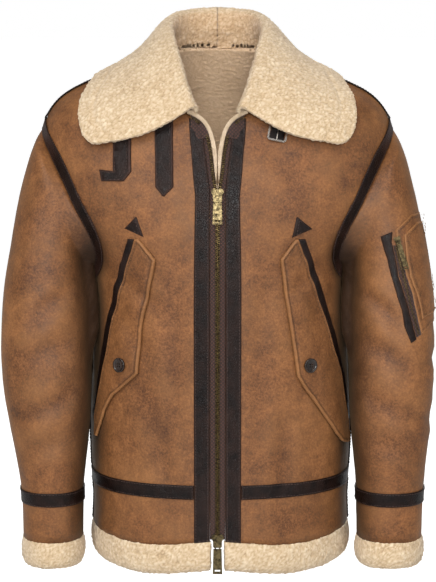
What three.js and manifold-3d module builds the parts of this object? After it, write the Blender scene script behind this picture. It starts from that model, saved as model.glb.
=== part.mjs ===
import * as THREE from 'three';
import { mergeVertices } from 'three/addons/utils/BufferGeometryUtils.js';
import Module from 'manifold-3d';

// A short shearling flight jacket with a wide collar, filled out as if worn.
// Millimetres, +Z up, the front faces -Y, +X is the wearer's left side.
// The origin is midway between the two side neck points, at their height.

const wasm = await Module();
wasm.setup();

// Driving sizes
const SEAM_GAP = 0.3;
const SHEARLING = 7;
const TAPE = 1.5;
const STRAP = 2;
const FLAP = 3.2;
const CURVE = 2.3;
const UNDERARM_Z = -321;
const NECK_POINT = 90;
const TAPE_WIDTH = 18;
const PLACKET_WIDTH = 22;
const SHOULDER_TAPE_HALF = 9;
const FRONT_COLUMNS = 9;
const NECK_COLUMNS = 4;
const YOKE_ROWS = 12;
const COLLAR_WALL = 11;
const COLLAR_ROLL = 8;
const LEFT = 1;
const RIGHT = -1;
const FRONT = -1;
const BACK = 1;

// Half widths of the body from hem to neck, on the wearer's left and right
const widthTable = [
  { z: -690, left: 191, right: 183 },
  { z: -640, left: 189, right: 181 },
  { z: -595, left: 191, right: 183 },
  { z: -530, left: 193, right: 185 },
  { z: -450, left: 191, right: 183 },
  { z: -400, left: 187, right: 179 },
  { z: -350, left: 182, right: 175 },
  { z: -303, left: 182, right: 180 },
  { z: -288, left: 183, right: 182 },
  { z: -263, left: 198, right: 198 },
  { z: -230, left: 226, right: 226 },
  { z: -192, left: 245, right: 245 },
  { z: -153, left: 250, right: 250 },
  { z: -122, left: 251, right: 251 },
  { z: -104, left: 250, right: 250 },
  { z: -84, left: 243, right: 243 },
  { z: -62, left: 227, right: 227 },
  { z: -45, left: 201, right: 201 },
  { z: -35, left: 178, right: 178 },
  { z: -25, left: 155, right: 155 },
  { z: -12, left: 122, right: 122 },
  { z: 0, left: 90, right: 90 },
  { z: 6, left: 82, right: 82 },
  { z: 10, left: 80, right: 80 },
];

// Depth of the centre front and centre back from the side line
const depthTable = [
  { z: -690, front: 150, back: 128 },
  { z: -614, front: 148, back: 125 },
  { z: -530, front: 146, back: 122 },
  { z: -450, front: 146, back: 122 },
  { z: -350, front: 147, back: 128 },
  { z: -250, front: 143, back: 133 },
  { z: -200, front: 137, back: 132 },
  { z: -150, front: 127, back: 126 },
  { z: -120, front: 117, back: 120 },
  { z: -100, front: 110, back: 116 },
  { z: -84, front: 103.5, back: 112 },
  { z: -62, front: 86, back: 104 },
  { z: -27, front: 51, back: 89 },
  { z: -10, front: 29, back: 82 },
  { z: -3, front: 14, back: 79 },
  { z: 0, front: 0.5, back: 78 },
  { z: 6, front: 0.5, back: 76 },
  { z: 10, front: 0.5, back: 75 },
];

// Inner edge of the front panel beside the zip, and the line of the teeth
const openingTable = [
  { z: -690, panel: 11, teeth: 0.8 },
  { z: -176, panel: 11, teeth: 0.8 },
  { z: -140, panel: 16, teeth: 6.3 },
  { z: -113, panel: 19.5, teeth: 9.1 },
  { z: -97, panel: 23, teeth: 11.9 },
  { z: -88, panel: 28, teeth: 16.5 },
  { z: -84, panel: 34, teeth: 22 },
];

// Heights of the rows below the underarm, with the hem tape between two of them
const lowerRows = [-676, -645, -614, -594, -552, -508, -462, -412, -364, UNDERARM_Z];
const HEM_TAPE_ROWS = [2, 3];

// How far the hem leaves its level, by the turn from centre front to side
const hemWave = [
  { turn: 0, drop: -3 },
  { turn: 0.34, drop: 7 },
  { turn: 0.7, drop: 2 },
  { turn: 1, drop: -1 },
];

// Front neckline, seen from the front
const neckFront = [
  { t: 0, x: 34, z: -84 },
  { t: 0.32, x: 52, z: -62 },
  { t: 0.68, x: 74, z: -29 },
  { t: 1, x: NECK_POINT, z: 0 },
];

// Armhole seam as cut: depth from the side line and height
const armholeFront = [
  { y: 0, z: -303 },
  { y: 34, z: -300 },
  { y: 62, z: -288 },
  { y: 80, z: -263 },
  { y: 88, z: -230 },
  { y: 81, z: -192 },
  { y: 61, z: -153 },
  { y: 32, z: -122 },
  { y: 0, z: -104 },
];
const armholeBack = [
  { y: 0, z: -303 },
  { y: 34, z: -300 },
  { y: 62, z: -288 },
  { y: 80, z: -263 },
  { y: 86, z: -230 },
  { y: 78, z: -192 },
  { y: 58, z: -153 },
  { y: 31, z: -122 },
  { y: 0, z: -104 },
];

// Sleeve rings: the outer point as seen from the front, the inner point as its distance
// from the body's side and its height, then the centre's depth and the half depth
const sleeveTable = [
  { ox: 260, oz: -118, clear: 2.2, iz: -310, y: 0, half: 88, flare: 0 },
  { ox: 269, oz: -142, clear: 3, iz: -319, y: -4, half: 87, flare: 0 },
  { ox: 280, oz: -184, clear: 2.6, iz: -334, y: -13, half: 84, flare: 0 },
  { ox: 291, oz: -235, clear: 0.8, iz: -359, y: -25, half: 80, flare: 0 },
  { ox: 300, oz: -290, clear: -1.2, iz: -390, y: -38, half: 75, flare: 0 },
  { ox: 307.3, oz: -350, clear: -3.3, iz: -428, y: -50, half: 69.6, flare: 0 },
  { ox: 310, oz: -412, clear: -4.3, iz: -469, y: -57, half: 66.3, flare: 0 },
  { ox: 307, oz: -474, clear: -4, iz: -514, y: -59.6, half: 63.2, flare: 0.1 },
  { ox: 299.6, oz: -532, clear: -0.8, iz: -557, y: -60, half: 60.1, flare: 0.55 },
  { ox: 291, oz: -588, clear: 3.5, iz: -597, y: -59, half: 57, flare: 0.9 },
  { ox: 289, oz: -614, clear: 5, iz: -614, y: -58, half: 55, flare: 1 },
  { ox: 287.5, oz: -634, clear: 6, iz: -634, y: -57, half: 54, flare: 1 },
  { ox: 286.5, oz: -688, clear: 6, iz: -688, y: -55, half: 52, flare: 1 },
];
const CUFF_TAPE_ROW = 11;
const CUFF_OUT = { left: 9, right: -6 };
const CUFF_IN = { left: 4, right: 5 };

// Collar stations from the front corner to the centre back:
// roll centre, middle of the leaf and its edge
const collarTable = [
  { rx: 35, ry: -112, rz: -73, mx: 100, my: -119, mz: -106, ex: 174, ey: -107, ez: -122 },
  { rx: 49, ry: -96, rz: -44, mx: 123, my: -107, mz: -80, ex: 190, ey: -90, ez: -106 },
  { rx: 60, ry: -62, rz: -4, mx: 130, my: -78, mz: -48, ex: 193, ey: -70, ez: -78 },
  { rx: 69, ry: -28, rz: 22, mx: 127, my: -42, mz: -17, ex: 182, ey: -40, ez: -45 },
  { rx: 72, ry: 4, rz: 37, mx: 118, my: 0, mz: 0, ex: 167, ey: 0, ez: -23 },
  { rx: 66, ry: 42, rz: 48, mx: 102, my: 62, mz: 8, ex: 135, ey: 84, ez: -36 },
  { rx: 45, ry: 74, rz: 55, mx: 60, my: 108, mz: 10, ex: 82, ey: 114, ez: -54 },
  { rx: 0, ry: 85, rz: 57, mx: 0, my: 122, mz: 8, ex: 0, ey: 124, ez: -62 },
];

// Outlines of the pieces that lie on the shell, as seen from the front.
// Right and left are the wearer's.
const pocketLine = {
  right: [
    { x: -115, z: -250, welt: 10 },
    { x: -134, z: -312, welt: 9 },
    { x: -152, z: -385, welt: 8 },
    { x: -166, z: -457, welt: 6 },
    { x: -176, z: -512, welt: 3 },
  ],
  left: [
    { x: 112, z: -250, welt: 10 },
    { x: 134, z: -312, welt: 9 },
    { x: 158, z: -386, welt: 8 },
    { x: 176, z: -450, welt: 6 },
    { x: 187, z: -520, welt: 3 },
  ],
};
const placketOutline = [
  { x: 0, z: -92 },
  { x: 41, z: -92 },
  { x: 37.5, z: -115 },
  { x: 35.5, z: -140 },
  { x: 34, z: -165 },
  { x: 33.5, z: -190 },
  { x: 60, z: -200 },
  { x: 60, z: -720 },
  { x: 0, z: -720 },
];
const flapEdge = {
  right: [
    { x: -112, z: -249 },
    { x: -85.5, z: -278 },
    { x: -106, z: -377 },
    { x: -112, z: -439 },
    { x: -148, z: -474 },
    { x: -163, z: -501 },
    { x: -173, z: -540 },
  ],
  left: [
    { x: 110, z: -251 },
    { x: 87, z: -277 },
    { x: 101, z: -377 },
    { x: 111, z: -443 },
    { x: 149, z: -501 },
    { x: 178, z: -546 },
    { x: 187, z: -552 },
  ],
};
const arrowhead = {
  right: [{ x: -113, z: -219 }, { x: -103.5, z: -246.5 }, { x: -129, z: -235.5 }],
  left: [{ x: 111, z: -219 }, { x: 132, z: -236.5 }, { x: 104.5, z: -247.5 }],
};
const strapOutline = {
  outer: [
    { x: -144, z: -93 },
    { x: -121.5, z: -93 },
    { x: -121, z: -157 },
    { x: -131, z: -170 },
    { x: -160, z: -171 },
    { x: -163, z: -155 },
    { x: -144, z: -157 },
  ],
  inner: [
    { x: -86.5, z: -84 },
    { x: -63, z: -84 },
    { x: -61.5, z: -177 },
    { x: -74.5, z: -190 },
    { x: -85, z: -177 },
  ],
};
const eyelets = [
  { name: 'outer_1', strap: 'outer', x: -134, z: -122 },
  { name: 'outer_2', strap: 'outer', x: -134, z: -146 },
  { name: 'inner_1', strap: 'inner', x: -76.5, z: -98 },
  { name: 'inner_2', strap: 'inner', x: -75, z: -119 },
  { name: 'inner_3', strap: 'inner', x: -73.5, z: -143 },
];
const EYELET = { hole: 2.4, barrel: 3, flange: 4.6, lip: 0.9 };
const sleevePocket = {
  welt: [
    { x: 228, z: -250 },
    { x: 245, z: -243 },
    { x: 245.5, z: -263 },
    { x: 252, z: -294 },
    { x: 258, z: -318 },
    { x: 269, z: -358 },
    { x: 279, z: -393 },
    { x: 271, z: -397 },
    { x: 262, z: -374 },
    { x: 247, z: -318 },
  ],
  tape: [
    { x: 246, z: -262 },
    { x: 252.5, z: -262 },
    { x: 259, z: -285 },
    { x: 267, z: -311 },
    { x: 276, z: -345 },
    { x: 286, z: -387 },
    { x: 279.5, z: -390 },
    { x: 269.6, z: -358 },
    { x: 258.6, z: -318 },
    { x: 252.6, z: -294 },
  ],
  patch: [
    { x: 250, z: -240 },
    { x: 274, z: -221 },
    { x: 330, z: -221 },
    { x: 330, z: -372 },
    { x: 302, z: -374 },
    { x: 287, z: -386 },
    { x: 276.6, z: -345 },
    { x: 267.6, z: -311 },
    { x: 259.6, z: -285 },
    { x: 253, z: -261 },
  ],
  pen: [
    { x: 263, z: -247 },
    { x: 283, z: -232 },
    { x: 330, z: -240 },
    { x: 330, z: -358 },
    { x: 296, z: -361 },
    { x: 288, z: -365 },
    { x: 269, z: -296 },
    { x: 265, z: -281 },
  ],
};
const SIDE_TAPE = { half: 8, top: -400, bottom: -674 };
const SLEEVE_SLIDER = { x: 249.5, z: -250, tilt: -15, scale: 0.58 };
const TOP_SLIDER_Z = -179;
const BOTTOM_SLIDER_Z = -663;
const BUTTON = { radius: 10.3, thick: 3.4, holes: 1.1, spread: 2.4 };
const buttons = {
  right: { x: -133, z: -429 },
  left: { x: 126, z: -428 },
};
const BUCKLE = { width: 27, height: 25, wire: 2.4, tilt: -13 };
const KEEPER = { base: 1.5, fold: 1.3 };
const buckles = [
  { name: 'inner', x: 83, z: -105, lift: 2.1 },
  { name: 'outer', x: 130, z: -98, lift: 2.7 },
];
const collarSteps = [
  { from: 'seam', steps: 2 },
  { from: 'inner', steps: 2 },
  { from: 'crest', steps: 2 },
  { from: 'outer', steps: 4 },
  { from: 'middle', steps: 4 },
];
const COLLAR_LIFT = { front: 13.4, back: 6.8 };
const hemProfile = [
  { out: 1.5, up: -0.9 },
  { out: 4.2, up: -13 },
  { out: 3.8, up: -29 },
  { out: 0, up: -40.5 },
  { out: -6, up: -44 },
  { out: -12, up: -37 },
  { out: -13.5, up: -18 },
  { out: -9, up: -0.9 },
];
const CUFF_SCALE = 0.9;
const HEM_END_X = 9;

function lookup(table, key, column, at) {
  const last = table.length - 1;
  if (at <= table[0][key]) return table[0][column];
  if (at >= table[last][key]) return table[last][column];
  let i = 0;
  while (at > table[i + 1][key]) i++;
  const span = (k) => table[k + 1][key] - table[k][key];
  const rise = (k) => (table[k + 1][column] - table[k][column]) / span(k);
  const slope = (k) => {
    if (k === 0) return rise(0);
    if (k === last) return rise(last - 1);
    const before = rise(k - 1);
    const after = rise(k);
    return before * after <= 0 ? 0 : (2 * before * after) / (before + after);
  };
  const h = span(i);
  const t = (at - table[i][key]) / h;
  const a = table[i][column];
  const b = table[i + 1][column];
  const even = t * t * (3 - 2 * t);
  return a + (b - a) * even + h * (slope(i) * t * (1 - t) * (1 - t) - slope(i + 1) * t * t * (1 - t));
}

function sideName(side) {
  return side === LEFT ? 'left' : 'right';
}

function halfWidth(side, z) {
  return lookup(widthTable, 'z', sideName(side), z);
}

function depth(face, z) {
  return lookup(depthTable, 'z', face === FRONT ? 'front' : 'back', z);
}

// A point of the body: turn runs from 0 at the centre line to 1 at the side line
function bodyPoint(side, face, turn, z) {
  const angle = Math.min(Math.max(turn, 0), 1) * Math.PI / 2;
  const x = halfWidth(side, z) * Math.sin(angle) ** (2 / CURVE);
  const y = turn >= 1 ? 0 : depth(face, z) * Math.cos(angle) ** (2 / CURVE);
  return new THREE.Vector3(side * x, face * y, z);
}

function turnAtX(side, z, x) {
  const ratio = Math.min(Math.abs(x) / halfWidth(side, z), 1);
  return Math.asin(ratio ** (CURVE / 2)) * 2 / Math.PI;
}

function turnAtY(face, z, y) {
  const ratio = Math.min(Math.abs(y) / depth(face, z), 1);
  return Math.acos(ratio ** (CURVE / 2)) * 2 / Math.PI;
}

function panelEdgeTurn(side, z) {
  return turnAtX(side, z, lookup(openingTable, 'z', 'panel', z));
}

// The body grid is laid out in (turn, z); a spot is one place in it
function mixSpot(a, b, t) {
  return { turn: a.turn + (b.turn - a.turn) * t, z: a.z + (b.z - a.z) * t };
}

function spotPoint(side, face, spot) {
  return bodyPoint(side, face, spot.turn, spot.z);
}

// Spots at even 3-D spacing along a polyline of spots
function evenSpots(side, face, spots, count) {
  const reach = [0];
  for (let i = 1; i < spots.length; i++) {
    const a = spotPoint(side, face, spots[i - 1]);
    reach.push(reach[i - 1] + a.distanceTo(spotPoint(side, face, spots[i])));
  }
  return Array.from({ length: count + 1 }, (_, k) => spotAtReach(spots, reach, (reach.at(-1) * k) / count));
}

function spotAtReach(spots, reach, target) {
  let i = 0;
  while (i < spots.length - 2 && reach[i + 1] < target) i++;
  const t = Math.min(Math.max((target - reach[i]) / (reach[i + 1] - reach[i] || 1), 0), 1);
  return mixSpot(spots[i], spots[i + 1], t);
}

const FINE = 64;

function armholeSpots(side, face) {
  const table = face === FRONT ? armholeFront : armholeBack;
  const rows = table.map((row, i) => ({ i, ...row }));
  const last = rows.length - 1;
  return Array.from({ length: FINE + 1 }, (_, k) => {
    const at = (k / FINE) * last;
    const z = lookup(rows, 'i', 'z', at);
    const y = lookup(rows, 'i', 'y', at);
    return { turn: k === 0 || k === FINE ? 1 : turnAtY(face, z, y), z };
  });
}

// The armhole tape's inner edge: the armhole moved across the cloth by the tape's width
function tapeEdgeSpots(side, face) {
  const loop = evenSpots(side, face, armholeSpots(side, face), FINE);
  const points = loop.map((spot) => spotPoint(side, face, spot));
  return loop.map((spot, i) => {
    const here = points[i];
    const tangent = points[Math.min(i + 1, FINE)].clone().sub(points[Math.max(i - 1, 0)]).normalize();
    if (i === 0) return { turn: 1, z: spot.z - TAPE_WIDTH };
    if (i === FINE) return shoulderSpotInside(side, spot.z);
    const normal = bodyNormal(side, face, spot);
    const inward = new THREE.Vector3().crossVectors(normal, tangent).normalize();
    const moved = here.clone().addScaledVector(inward, -side * face * TAPE_WIDTH);
    const flat = Math.abs(normal.y) > 0.72;
    const turn = flat ? turnAtX(side, moved.z, moved.x) : turnAtY(face, moved.z, moved.y);
    return { turn, z: moved.z };
  });
}

function shoulderSpotInside(side, tipZ) {
  const tip = bodyPoint(side, FRONT, 1, tipZ);
  let z = tipZ;
  while (bodyPoint(side, FRONT, 1, z).distanceTo(tip) < TAPE_WIDTH) z += 0.25;
  return { turn: 1, z };
}

function bodyNormal(side, face, spot) {
  const small = 0.004;
  const turnA = Math.max(spot.turn - small, 0);
  const turnB = Math.min(spot.turn + small, 1);
  const across = bodyPoint(side, face, turnB, spot.z).sub(bodyPoint(side, face, turnA, spot.z));
  const up = bodyPoint(side, face, spot.turn, spot.z + 1).sub(bodyPoint(side, face, spot.turn, spot.z - 1));
  const normal = across.cross(up).normalize();
  return normal.y * face < 0 ? normal.negate() : normal;
}

function zSteps(from, to, count) {
  return Array.from({ length: count + 1 }, (_, k) => from + ((to - from) * k) / count);
}

// Left side of the front: up the opening, then round the neckline
function frontEdgeSpots(side) {
  const opening = zSteps(UNDERARM_Z, neckFront[0].z, FINE).map((z) => ({ turn: panelEdgeTurn(side, z), z }));
  const neck = zSteps(0, 1, FINE).slice(1).map((t) => {
    const z = lookup(neckFront, 't', 'z', t);
    const x = lookup(neckFront, 't', 'x', t);
    return { turn: t === 1 ? 1 : turnAtX(side, z, x), z };
  });
  return { opening, neck };
}

// Even spots along a line that ends on the shoulder, the last but one at the shoulder tape's edge
function rowSpots(side, face, spots, count) {
  const last = spots.length - 1;
  let i = last;
  while (Math.abs(spotPoint(side, face, spots[i - 1]).y) < SHOULDER_TAPE_HALF) i--;
  const reachY = (t) => Math.abs(spotPoint(side, face, mixSpot(spots[i - 1], spots[i], t)).y);
  let t = 0;
  while (t < 1 && reachY(t) > SHOULDER_TAPE_HALF) t += 0.01;
  const edge = mixSpot(spots[i - 1], spots[i], t);
  return [...evenSpots(side, face, [...spots.slice(0, i), edge], count - 1), spots[last]];
}

const OPENING_ROWS = 7;
const NAPE_Z = 8;
const BACK_NECK_RISE = 2.5;

function frontSides(side) {
  const { opening, neck } = frontEdgeSpots(side);
  const lowerPart = evenSpots(side, FRONT, opening, OPENING_ROWS);
  const upperPart = rowSpots(side, FRONT, [opening.at(-1), ...neck], YOKE_ROWS - OPENING_ROWS).slice(1);
  const right = rowSpots(side, FRONT, tapeEdgeSpots(side, FRONT), YOKE_ROWS);
  const shoulder = zSteps(0, right.at(-1).z, FINE).map((z) => ({ turn: 1, z }));
  return {
    left: [...lowerPart, ...upperPart],
    right,
    bottom: lowerRow(side, FRONT, UNDERARM_Z),
    top: evenSpots(side, FRONT, shoulder, FRONT_COLUMNS),
  };
}

function backSides(side) {
  const right = rowSpots(side, BACK, tapeEdgeSpots(side, BACK), YOKE_ROWS);
  const shoulder = zSteps(0, right.at(-1).z, FINE).map((z) => ({ turn: 1, z }));
  const neck = zSteps(0, 1, FINE).map((t) => {
    const z = NAPE_Z * (1 - t ** 3) + BACK_NECK_RISE * Math.sin(Math.PI * t) * (1 - t);
    return { turn: t, z };
  });
  const centre = zSteps(UNDERARM_Z, NAPE_Z, YOKE_ROWS).map((z) => ({ turn: 0, z }));
  return {
    left: centre,
    right,
    bottom: lowerRow(side, BACK, UNDERARM_Z),
    top: [
      ...evenSpots(side, BACK, neck, NECK_COLUMNS),
      ...evenSpots(side, BACK, shoulder, FRONT_COLUMNS).slice(1),
    ],
  };
}

// One row of the body below the underarm, from the opening or centre back to the side
function lowerRow(side, face, z) {
  const start = face === FRONT ? panelEdgeTurn(side, z) : 0;
  const spots = zSteps(start, 1, FINE).map((turn) => ({ turn, z }));
  if (face === BACK) return evenSpots(side, face, spots, NECK_COLUMNS + FRONT_COLUMNS);
  return placketRow(side, spots);
}

// A front row keeps its second column at the placket's outer edge
function placketRow(side, spots) {
  const reach = [0];
  for (let i = 1; i < spots.length; i++) {
    const a = spotPoint(side, FRONT, spots[i - 1]);
    reach.push(reach[i - 1] + a.distanceTo(spotPoint(side, FRONT, spots[i])));
  }
  const rest = (reach.at(-1) - PLACKET_WIDTH) / (FRONT_COLUMNS - 1);
  return Array.from({ length: FRONT_COLUMNS + 1 }, (_, k) =>
    spotAtReach(spots, reach, k === 0 ? 0 : PLACKET_WIDTH + (k - 1) * rest));
}

// Spots between four sides, so that each side keeps its own line
function fillSpots(sides, columns) {
  const rows = YOKE_ROWS;
  const corner = (r, c) => (r === 0 ? sides.bottom : sides.top).at(c === 0 ? 0 : -1);
  return Array.from({ length: rows + 1 }, (_, r) => Array.from({ length: columns + 1 }, (_, c) => {
    const v = r / rows;
    const u = c / columns;
    const blend = (name) => (1 - u) * sides.left[r][name] + u * sides.right[r][name]
      + (1 - v) * sides.bottom[c][name] + v * sides.top[c][name]
      - (1 - u) * (1 - v) * corner(0, 0)[name] - u * (1 - v) * corner(0, 1)[name]
      - (1 - u) * v * corner(1, 0)[name] - u * v * corner(1, 1)[name];
    return { turn: Math.min(Math.max(blend('turn'), 0), 1), z: blend('z') };
  }));
}

// The row next to the shoulder lies at the shoulder tape's edge, straight across from the seam
function setTapeRow(side, face, grid, fromColumn, toColumn) {
  for (let c = fromColumn; c < toColumn; c++) {
    const seam = grid[YOKE_ROWS][c];
    const seamX = halfWidth(side, seam.z);
    const turn = (z) => turnAtY(face, z, SHOULDER_TAPE_HALF);
    let z = seam.z;
    while (z > seam.z - 20 && Math.abs(bodyPoint(side, face, turn(z), z).x) < seamX) z -= 0.02;
    grid[YOKE_ROWS - 1][c] = { turn: turn(z), z };
  }
}

function bodyGrid(side, face) {
  const columns = face === FRONT ? FRONT_COLUMNS : NECK_COLUMNS + FRONT_COLUMNS;
  const sides = face === FRONT ? frontSides(side) : backSides(side);
  const yoke = fillSpots(sides, columns);
  if (face === FRONT) {
    for (let r = 1; r < YOKE_ROWS; r++) yoke[r] = placketRow(side, yoke[r]);
  }
  const loop = rowSpots(side, face, armholeSpots(side, face), YOKE_ROWS);
  yoke.forEach((row, r) => row.push(loop[r]));
  setTapeRow(side, face, yoke, face === FRONT ? 1 : NECK_COLUMNS, columns);
  const lower = lowerRows.slice(0, -1).map((z, i) => {
    const row = lowerRow(side, face, z);
    return i === 0 ? row.map((spot) => ({ turn: spot.turn, z: z - lookup(hemWave, 'turn', 'drop', spot.turn) })) : row;
  });
  return { lower, yoke };
}

// Shared points, so that pieces that meet at a seam share its line and normals
const pool = { points: [], normals: [], index: new Map() };

function pooled(point) {
  const key = [point.x, point.y, point.z].map((v) => Math.round(v * 1000)).join(' ');
  if (!pool.index.has(key)) {
    pool.index.set(key, pool.points.length);
    pool.points.push(point.clone());
    pool.normals.push(new THREE.Vector3());
  }
  return pool.index.get(key);
}

// A cell is four pooled points, ordered counter-clockwise as seen from outside
function cell(a, b, c, d, flip) {
  const corners = flip ? [a, d, c, b] : [a, b, c, d];
  return corners.map((point) => pooled(point));
}

function addNormals(cells) {
  for (const corners of cells) {
    for (const [i, j, k] of splitCell(corners)) {
      const normal = faceNormal(i, j, k);
      for (const n of [i, j, k]) pool.normals[n].add(normal);
    }
  }
}

function faceNormal(i, j, k) {
  const a = pool.points[i];
  return pool.points[j].clone().sub(a).cross(pool.points[k].clone().sub(a));
}

function splitCell([a, b, c, d]) {
  const p = pool.points;
  const triangles = p[a].distanceTo(p[c]) <= p[b].distanceTo(p[d])
    ? [[a, b, c], [a, c, d]]
    : [[a, b, d], [b, c, d]];
  return triangles.filter(([i, j, k]) => i !== j && j !== k && i !== k);
}

// Body panels: cells with their row and column
function bodyCells(side, face) {
  const { lower, yoke } = bodyGrid(side, face);
  const flip = side * face > 0;
  const cells = [];
  const rows = [...lower, yoke[0]];
  const at = (spot) => spotPoint(side, face, spot);
  const columns = lower[0].length - 1;
  for (let r = 0; r < rows.length - 1; r++) {
    for (let c = 0; c < columns; c++) {
      const corners = cell(at(rows[r][c]), at(rows[r][c + 1]), at(rows[r + 1][c + 1]), at(rows[r + 1][c]), flip);
      cells.push({ part: 'lower', row: r, column: c, side, face, corners });
    }
  }
  for (let r = 0; r < YOKE_ROWS; r++) {
    for (let c = 0; c < columns + 1; c++) {
      const corners = cell(at(yoke[r][c]), at(yoke[r][c + 1]), at(yoke[r + 1][c + 1]), at(yoke[r + 1][c]), flip);
      const part = c === columns ? 'armhole' : 'yoke';
      cells.push({ part, row: r, column: c, side, face, corners });
    }
  }
  const edge = [...rows, ...yoke.slice(1, OPENING_ROWS + 1)].map((row) => at(row[0]));
  const neck = face === FRONT
    ? yoke.slice(OPENING_ROWS).map((row) => at(row[0]))
    : yoke[YOKE_ROWS].slice(0, NECK_COLUMNS + 1).map((spot) => at(spot));
  const hem = rows[0].map((spot) => at(spot));
  return { cells, edge, neck, hem, loop: yoke.map((row) => at(row.at(-1))) };
}

// Sleeve rings: the armhole first, then rings of the table, each from the top
// round the front to the underarm and round the back to the top again
function sleeveRing(side, row) {
  const name = sideName(side);
  const outer = new THREE.Vector3(side * (row.ox + CUFF_OUT[name] * row.flare), row.y, row.oz);
  const innerX = halfWidth(side, row.iz) + row.clear + CUFF_IN[name] * row.flare;
  const inner = new THREE.Vector3(side * innerX, row.y, row.iz);
  const centre = outer.clone().add(inner).multiplyScalar(0.5);
  const reach = outer.clone().sub(centre);
  const count = 2 * YOKE_ROWS;
  return Array.from({ length: count }, (_, k) => {
    const angle = (k / count) * 2 * Math.PI;
    const along = Math.sign(Math.cos(angle)) * Math.abs(Math.cos(angle)) ** (2 / SLEEVE_CURVE);
    const across = Math.sign(Math.sin(angle)) * Math.abs(Math.sin(angle)) ** (2 / SLEEVE_CURVE);
    const point = centre.clone().addScaledVector(reach, along);
    point.y -= row.half * across;
    return point;
  });
}

const SLEEVE_CURVE = 2.15;

function sleeveCells(side, frontLoop, backLoop) {
  const loop = [...frontLoop.slice().reverse(), ...backLoop.slice(1, -1)];
  const rings = [loop, ...sleeveTable.map((row) => sleeveRing(side, row))];
  const count = 2 * YOKE_ROWS;
  const cells = [];
  for (let r = 0; r < rings.length - 1; r++) {
    for (let c = 0; c < count; c++) {
      const d = (c + 1) % count;
      const corners = cell(rings[r][c], rings[r][d], rings[r + 1][d], rings[r + 1][c], side === RIGHT);
      cells.push({ part: 'sleeve', row: r, column: c, side, face: c < YOKE_ROWS ? FRONT : BACK, corners });
    }
  }
  return { cells, rings };
}

// A closed wall over cells, between two distances from their points along the normals
function wall(cells, from, to, inset = SEAM_GAP / 2) {
  const triangles = cells.flatMap((item) => splitCell(item.corners));
  const used = new Map();
  for (const [i, j, k] of triangles) {
    const normal = faceNormal(i, j, k);
    for (const [a, b] of [[i, j], [j, k], [k, i]]) used.set(`${a} ${b}`, [a, b, normal]);
  }
  const border = [...used.values()].filter(([a, b]) => !used.has(`${b} ${a}`));
  const moves = new Map();
  for (const [a, b, normal] of border) {
    const along = pool.points[b].clone().sub(pool.points[a]);
    const inward = normal.clone().cross(along).normalize();
    for (const n of [a, b]) moves.set(n, [...(moves.get(n) ?? []), inward]);
  }
  const numbers = new Map();
  const positions = [];
  const put = (n, level) => {
    const key = `${n} ${level}`;
    if (!numbers.has(key)) {
      const point = pool.points[n].clone().addScaledVector(pool.normals[n], level);
      const inward = moves.get(n);
      if (inward) {
        const sum = inward[0].clone().add(inward.at(-1));
        point.addScaledVector(sum, inset / Math.max(1 + inward[0].dot(inward.at(-1)), 0.4));
      }
      numbers.set(key, positions.length / 3);
      positions.push(point.x, point.y, point.z);
    }
    return numbers.get(key);
  };
  const faces = [];
  for (const [i, j, k] of triangles) {
    faces.push(put(i, to), put(j, to), put(k, to));
    faces.push(put(i, from), put(k, from), put(j, from));
  }
  for (const [a, b] of border) {
    const corners = [put(a, to), put(a, from), put(b, from), put(b, to)];
    const turned = a < b ? corners : [...corners.slice(1), corners[0]];
    faces.push(turned[0], turned[1], turned[2], turned[0], turned[2], turned[3]);
  }
  const geometry = new THREE.BufferGeometry();
  geometry.setAttribute('position', new THREE.Float32BufferAttribute(positions, 3));
  geometry.setIndex(faces);
  return geometry;
}

// Joining and cutting
function toSolid(geometry) {
  const plain = geometry.clone();
  plain.deleteAttribute('normal');
  plain.deleteAttribute('uv');
  const merged = mergeVertices(plain, 1e-4);
  return new wasm.Manifold(new wasm.Mesh({
    numProp: 3,
    vertProperties: new Float32Array(merged.attributes.position.array),
    triVerts: new Uint32Array(merged.index.array),
  }));
}

function toGeometry(solid) {
  const mesh = solid.getMesh();
  const geometry = new THREE.BufferGeometry();
  geometry.setAttribute('position', new THREE.Float32BufferAttribute(mesh.vertProperties, 3));
  geometry.setIndex(Array.from(mesh.triVerts));
  return geometry;
}

// A piece with its neighbour's space cut away, without the crumbs this leaves
function trimmed(geometry, neighbour) {
  const pieces = toSolid(geometry).subtract(toSolid(neighbour)).decompose();
  pieces.sort((a, b) => b.volume() - a.volume());
  return toGeometry(pieces[0]);
}

// The crease of the underarm closes on the tape, so the tape is cut back there from the panels
function clearOfCrease(geometry, side) {
  const zone = new THREE.BoxGeometry(80, 200, 50);
  zone.translate(side * 170, 0, -293);
  const space = toSolid(zone);
  const steps = [[0, 0, 0], [1, 0, 0], [-1, 0, 0], [0, 0, 1], [0, 0, -1], [0, 1, 0], [0, -1, 0]];
  let solid = toSolid(geometry);
  for (const mesh of group.children.filter((child) => child.name.match(/^(front|back|sleeve)/))) {
    const near = toSolid(mesh.geometry).intersect(space);
    for (const step of steps) solid = solid.subtract(near.translate(step.map((v) => v * SEAM_GAP * 0.8)));
  }
  const pieces = solid.decompose().sort((a, b) => b.volume() - a.volume());
  return toGeometry(pieces[0]);
}

// A narrow tape over the side seam, cut between two heights
function sideTape(cells, side, top, bottom) {
  const band = cells.filter((item) => item.part === 'lower'
    && item.column === (item.face === FRONT ? FRONT_COLUMNS : FRONT_COLUMNS + NECK_COLUMNS) - 1);
  const box = new THREE.BoxGeometry(120, 2 * SIDE_TAPE.half, top - bottom);
  box.translate(side * 190, 0, (top + bottom) / 2);
  return toGeometry(toSolid(wall(band, SEAM_GAP, SEAM_GAP + TAPE, 0)).intersect(toSolid(box)));
}

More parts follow.
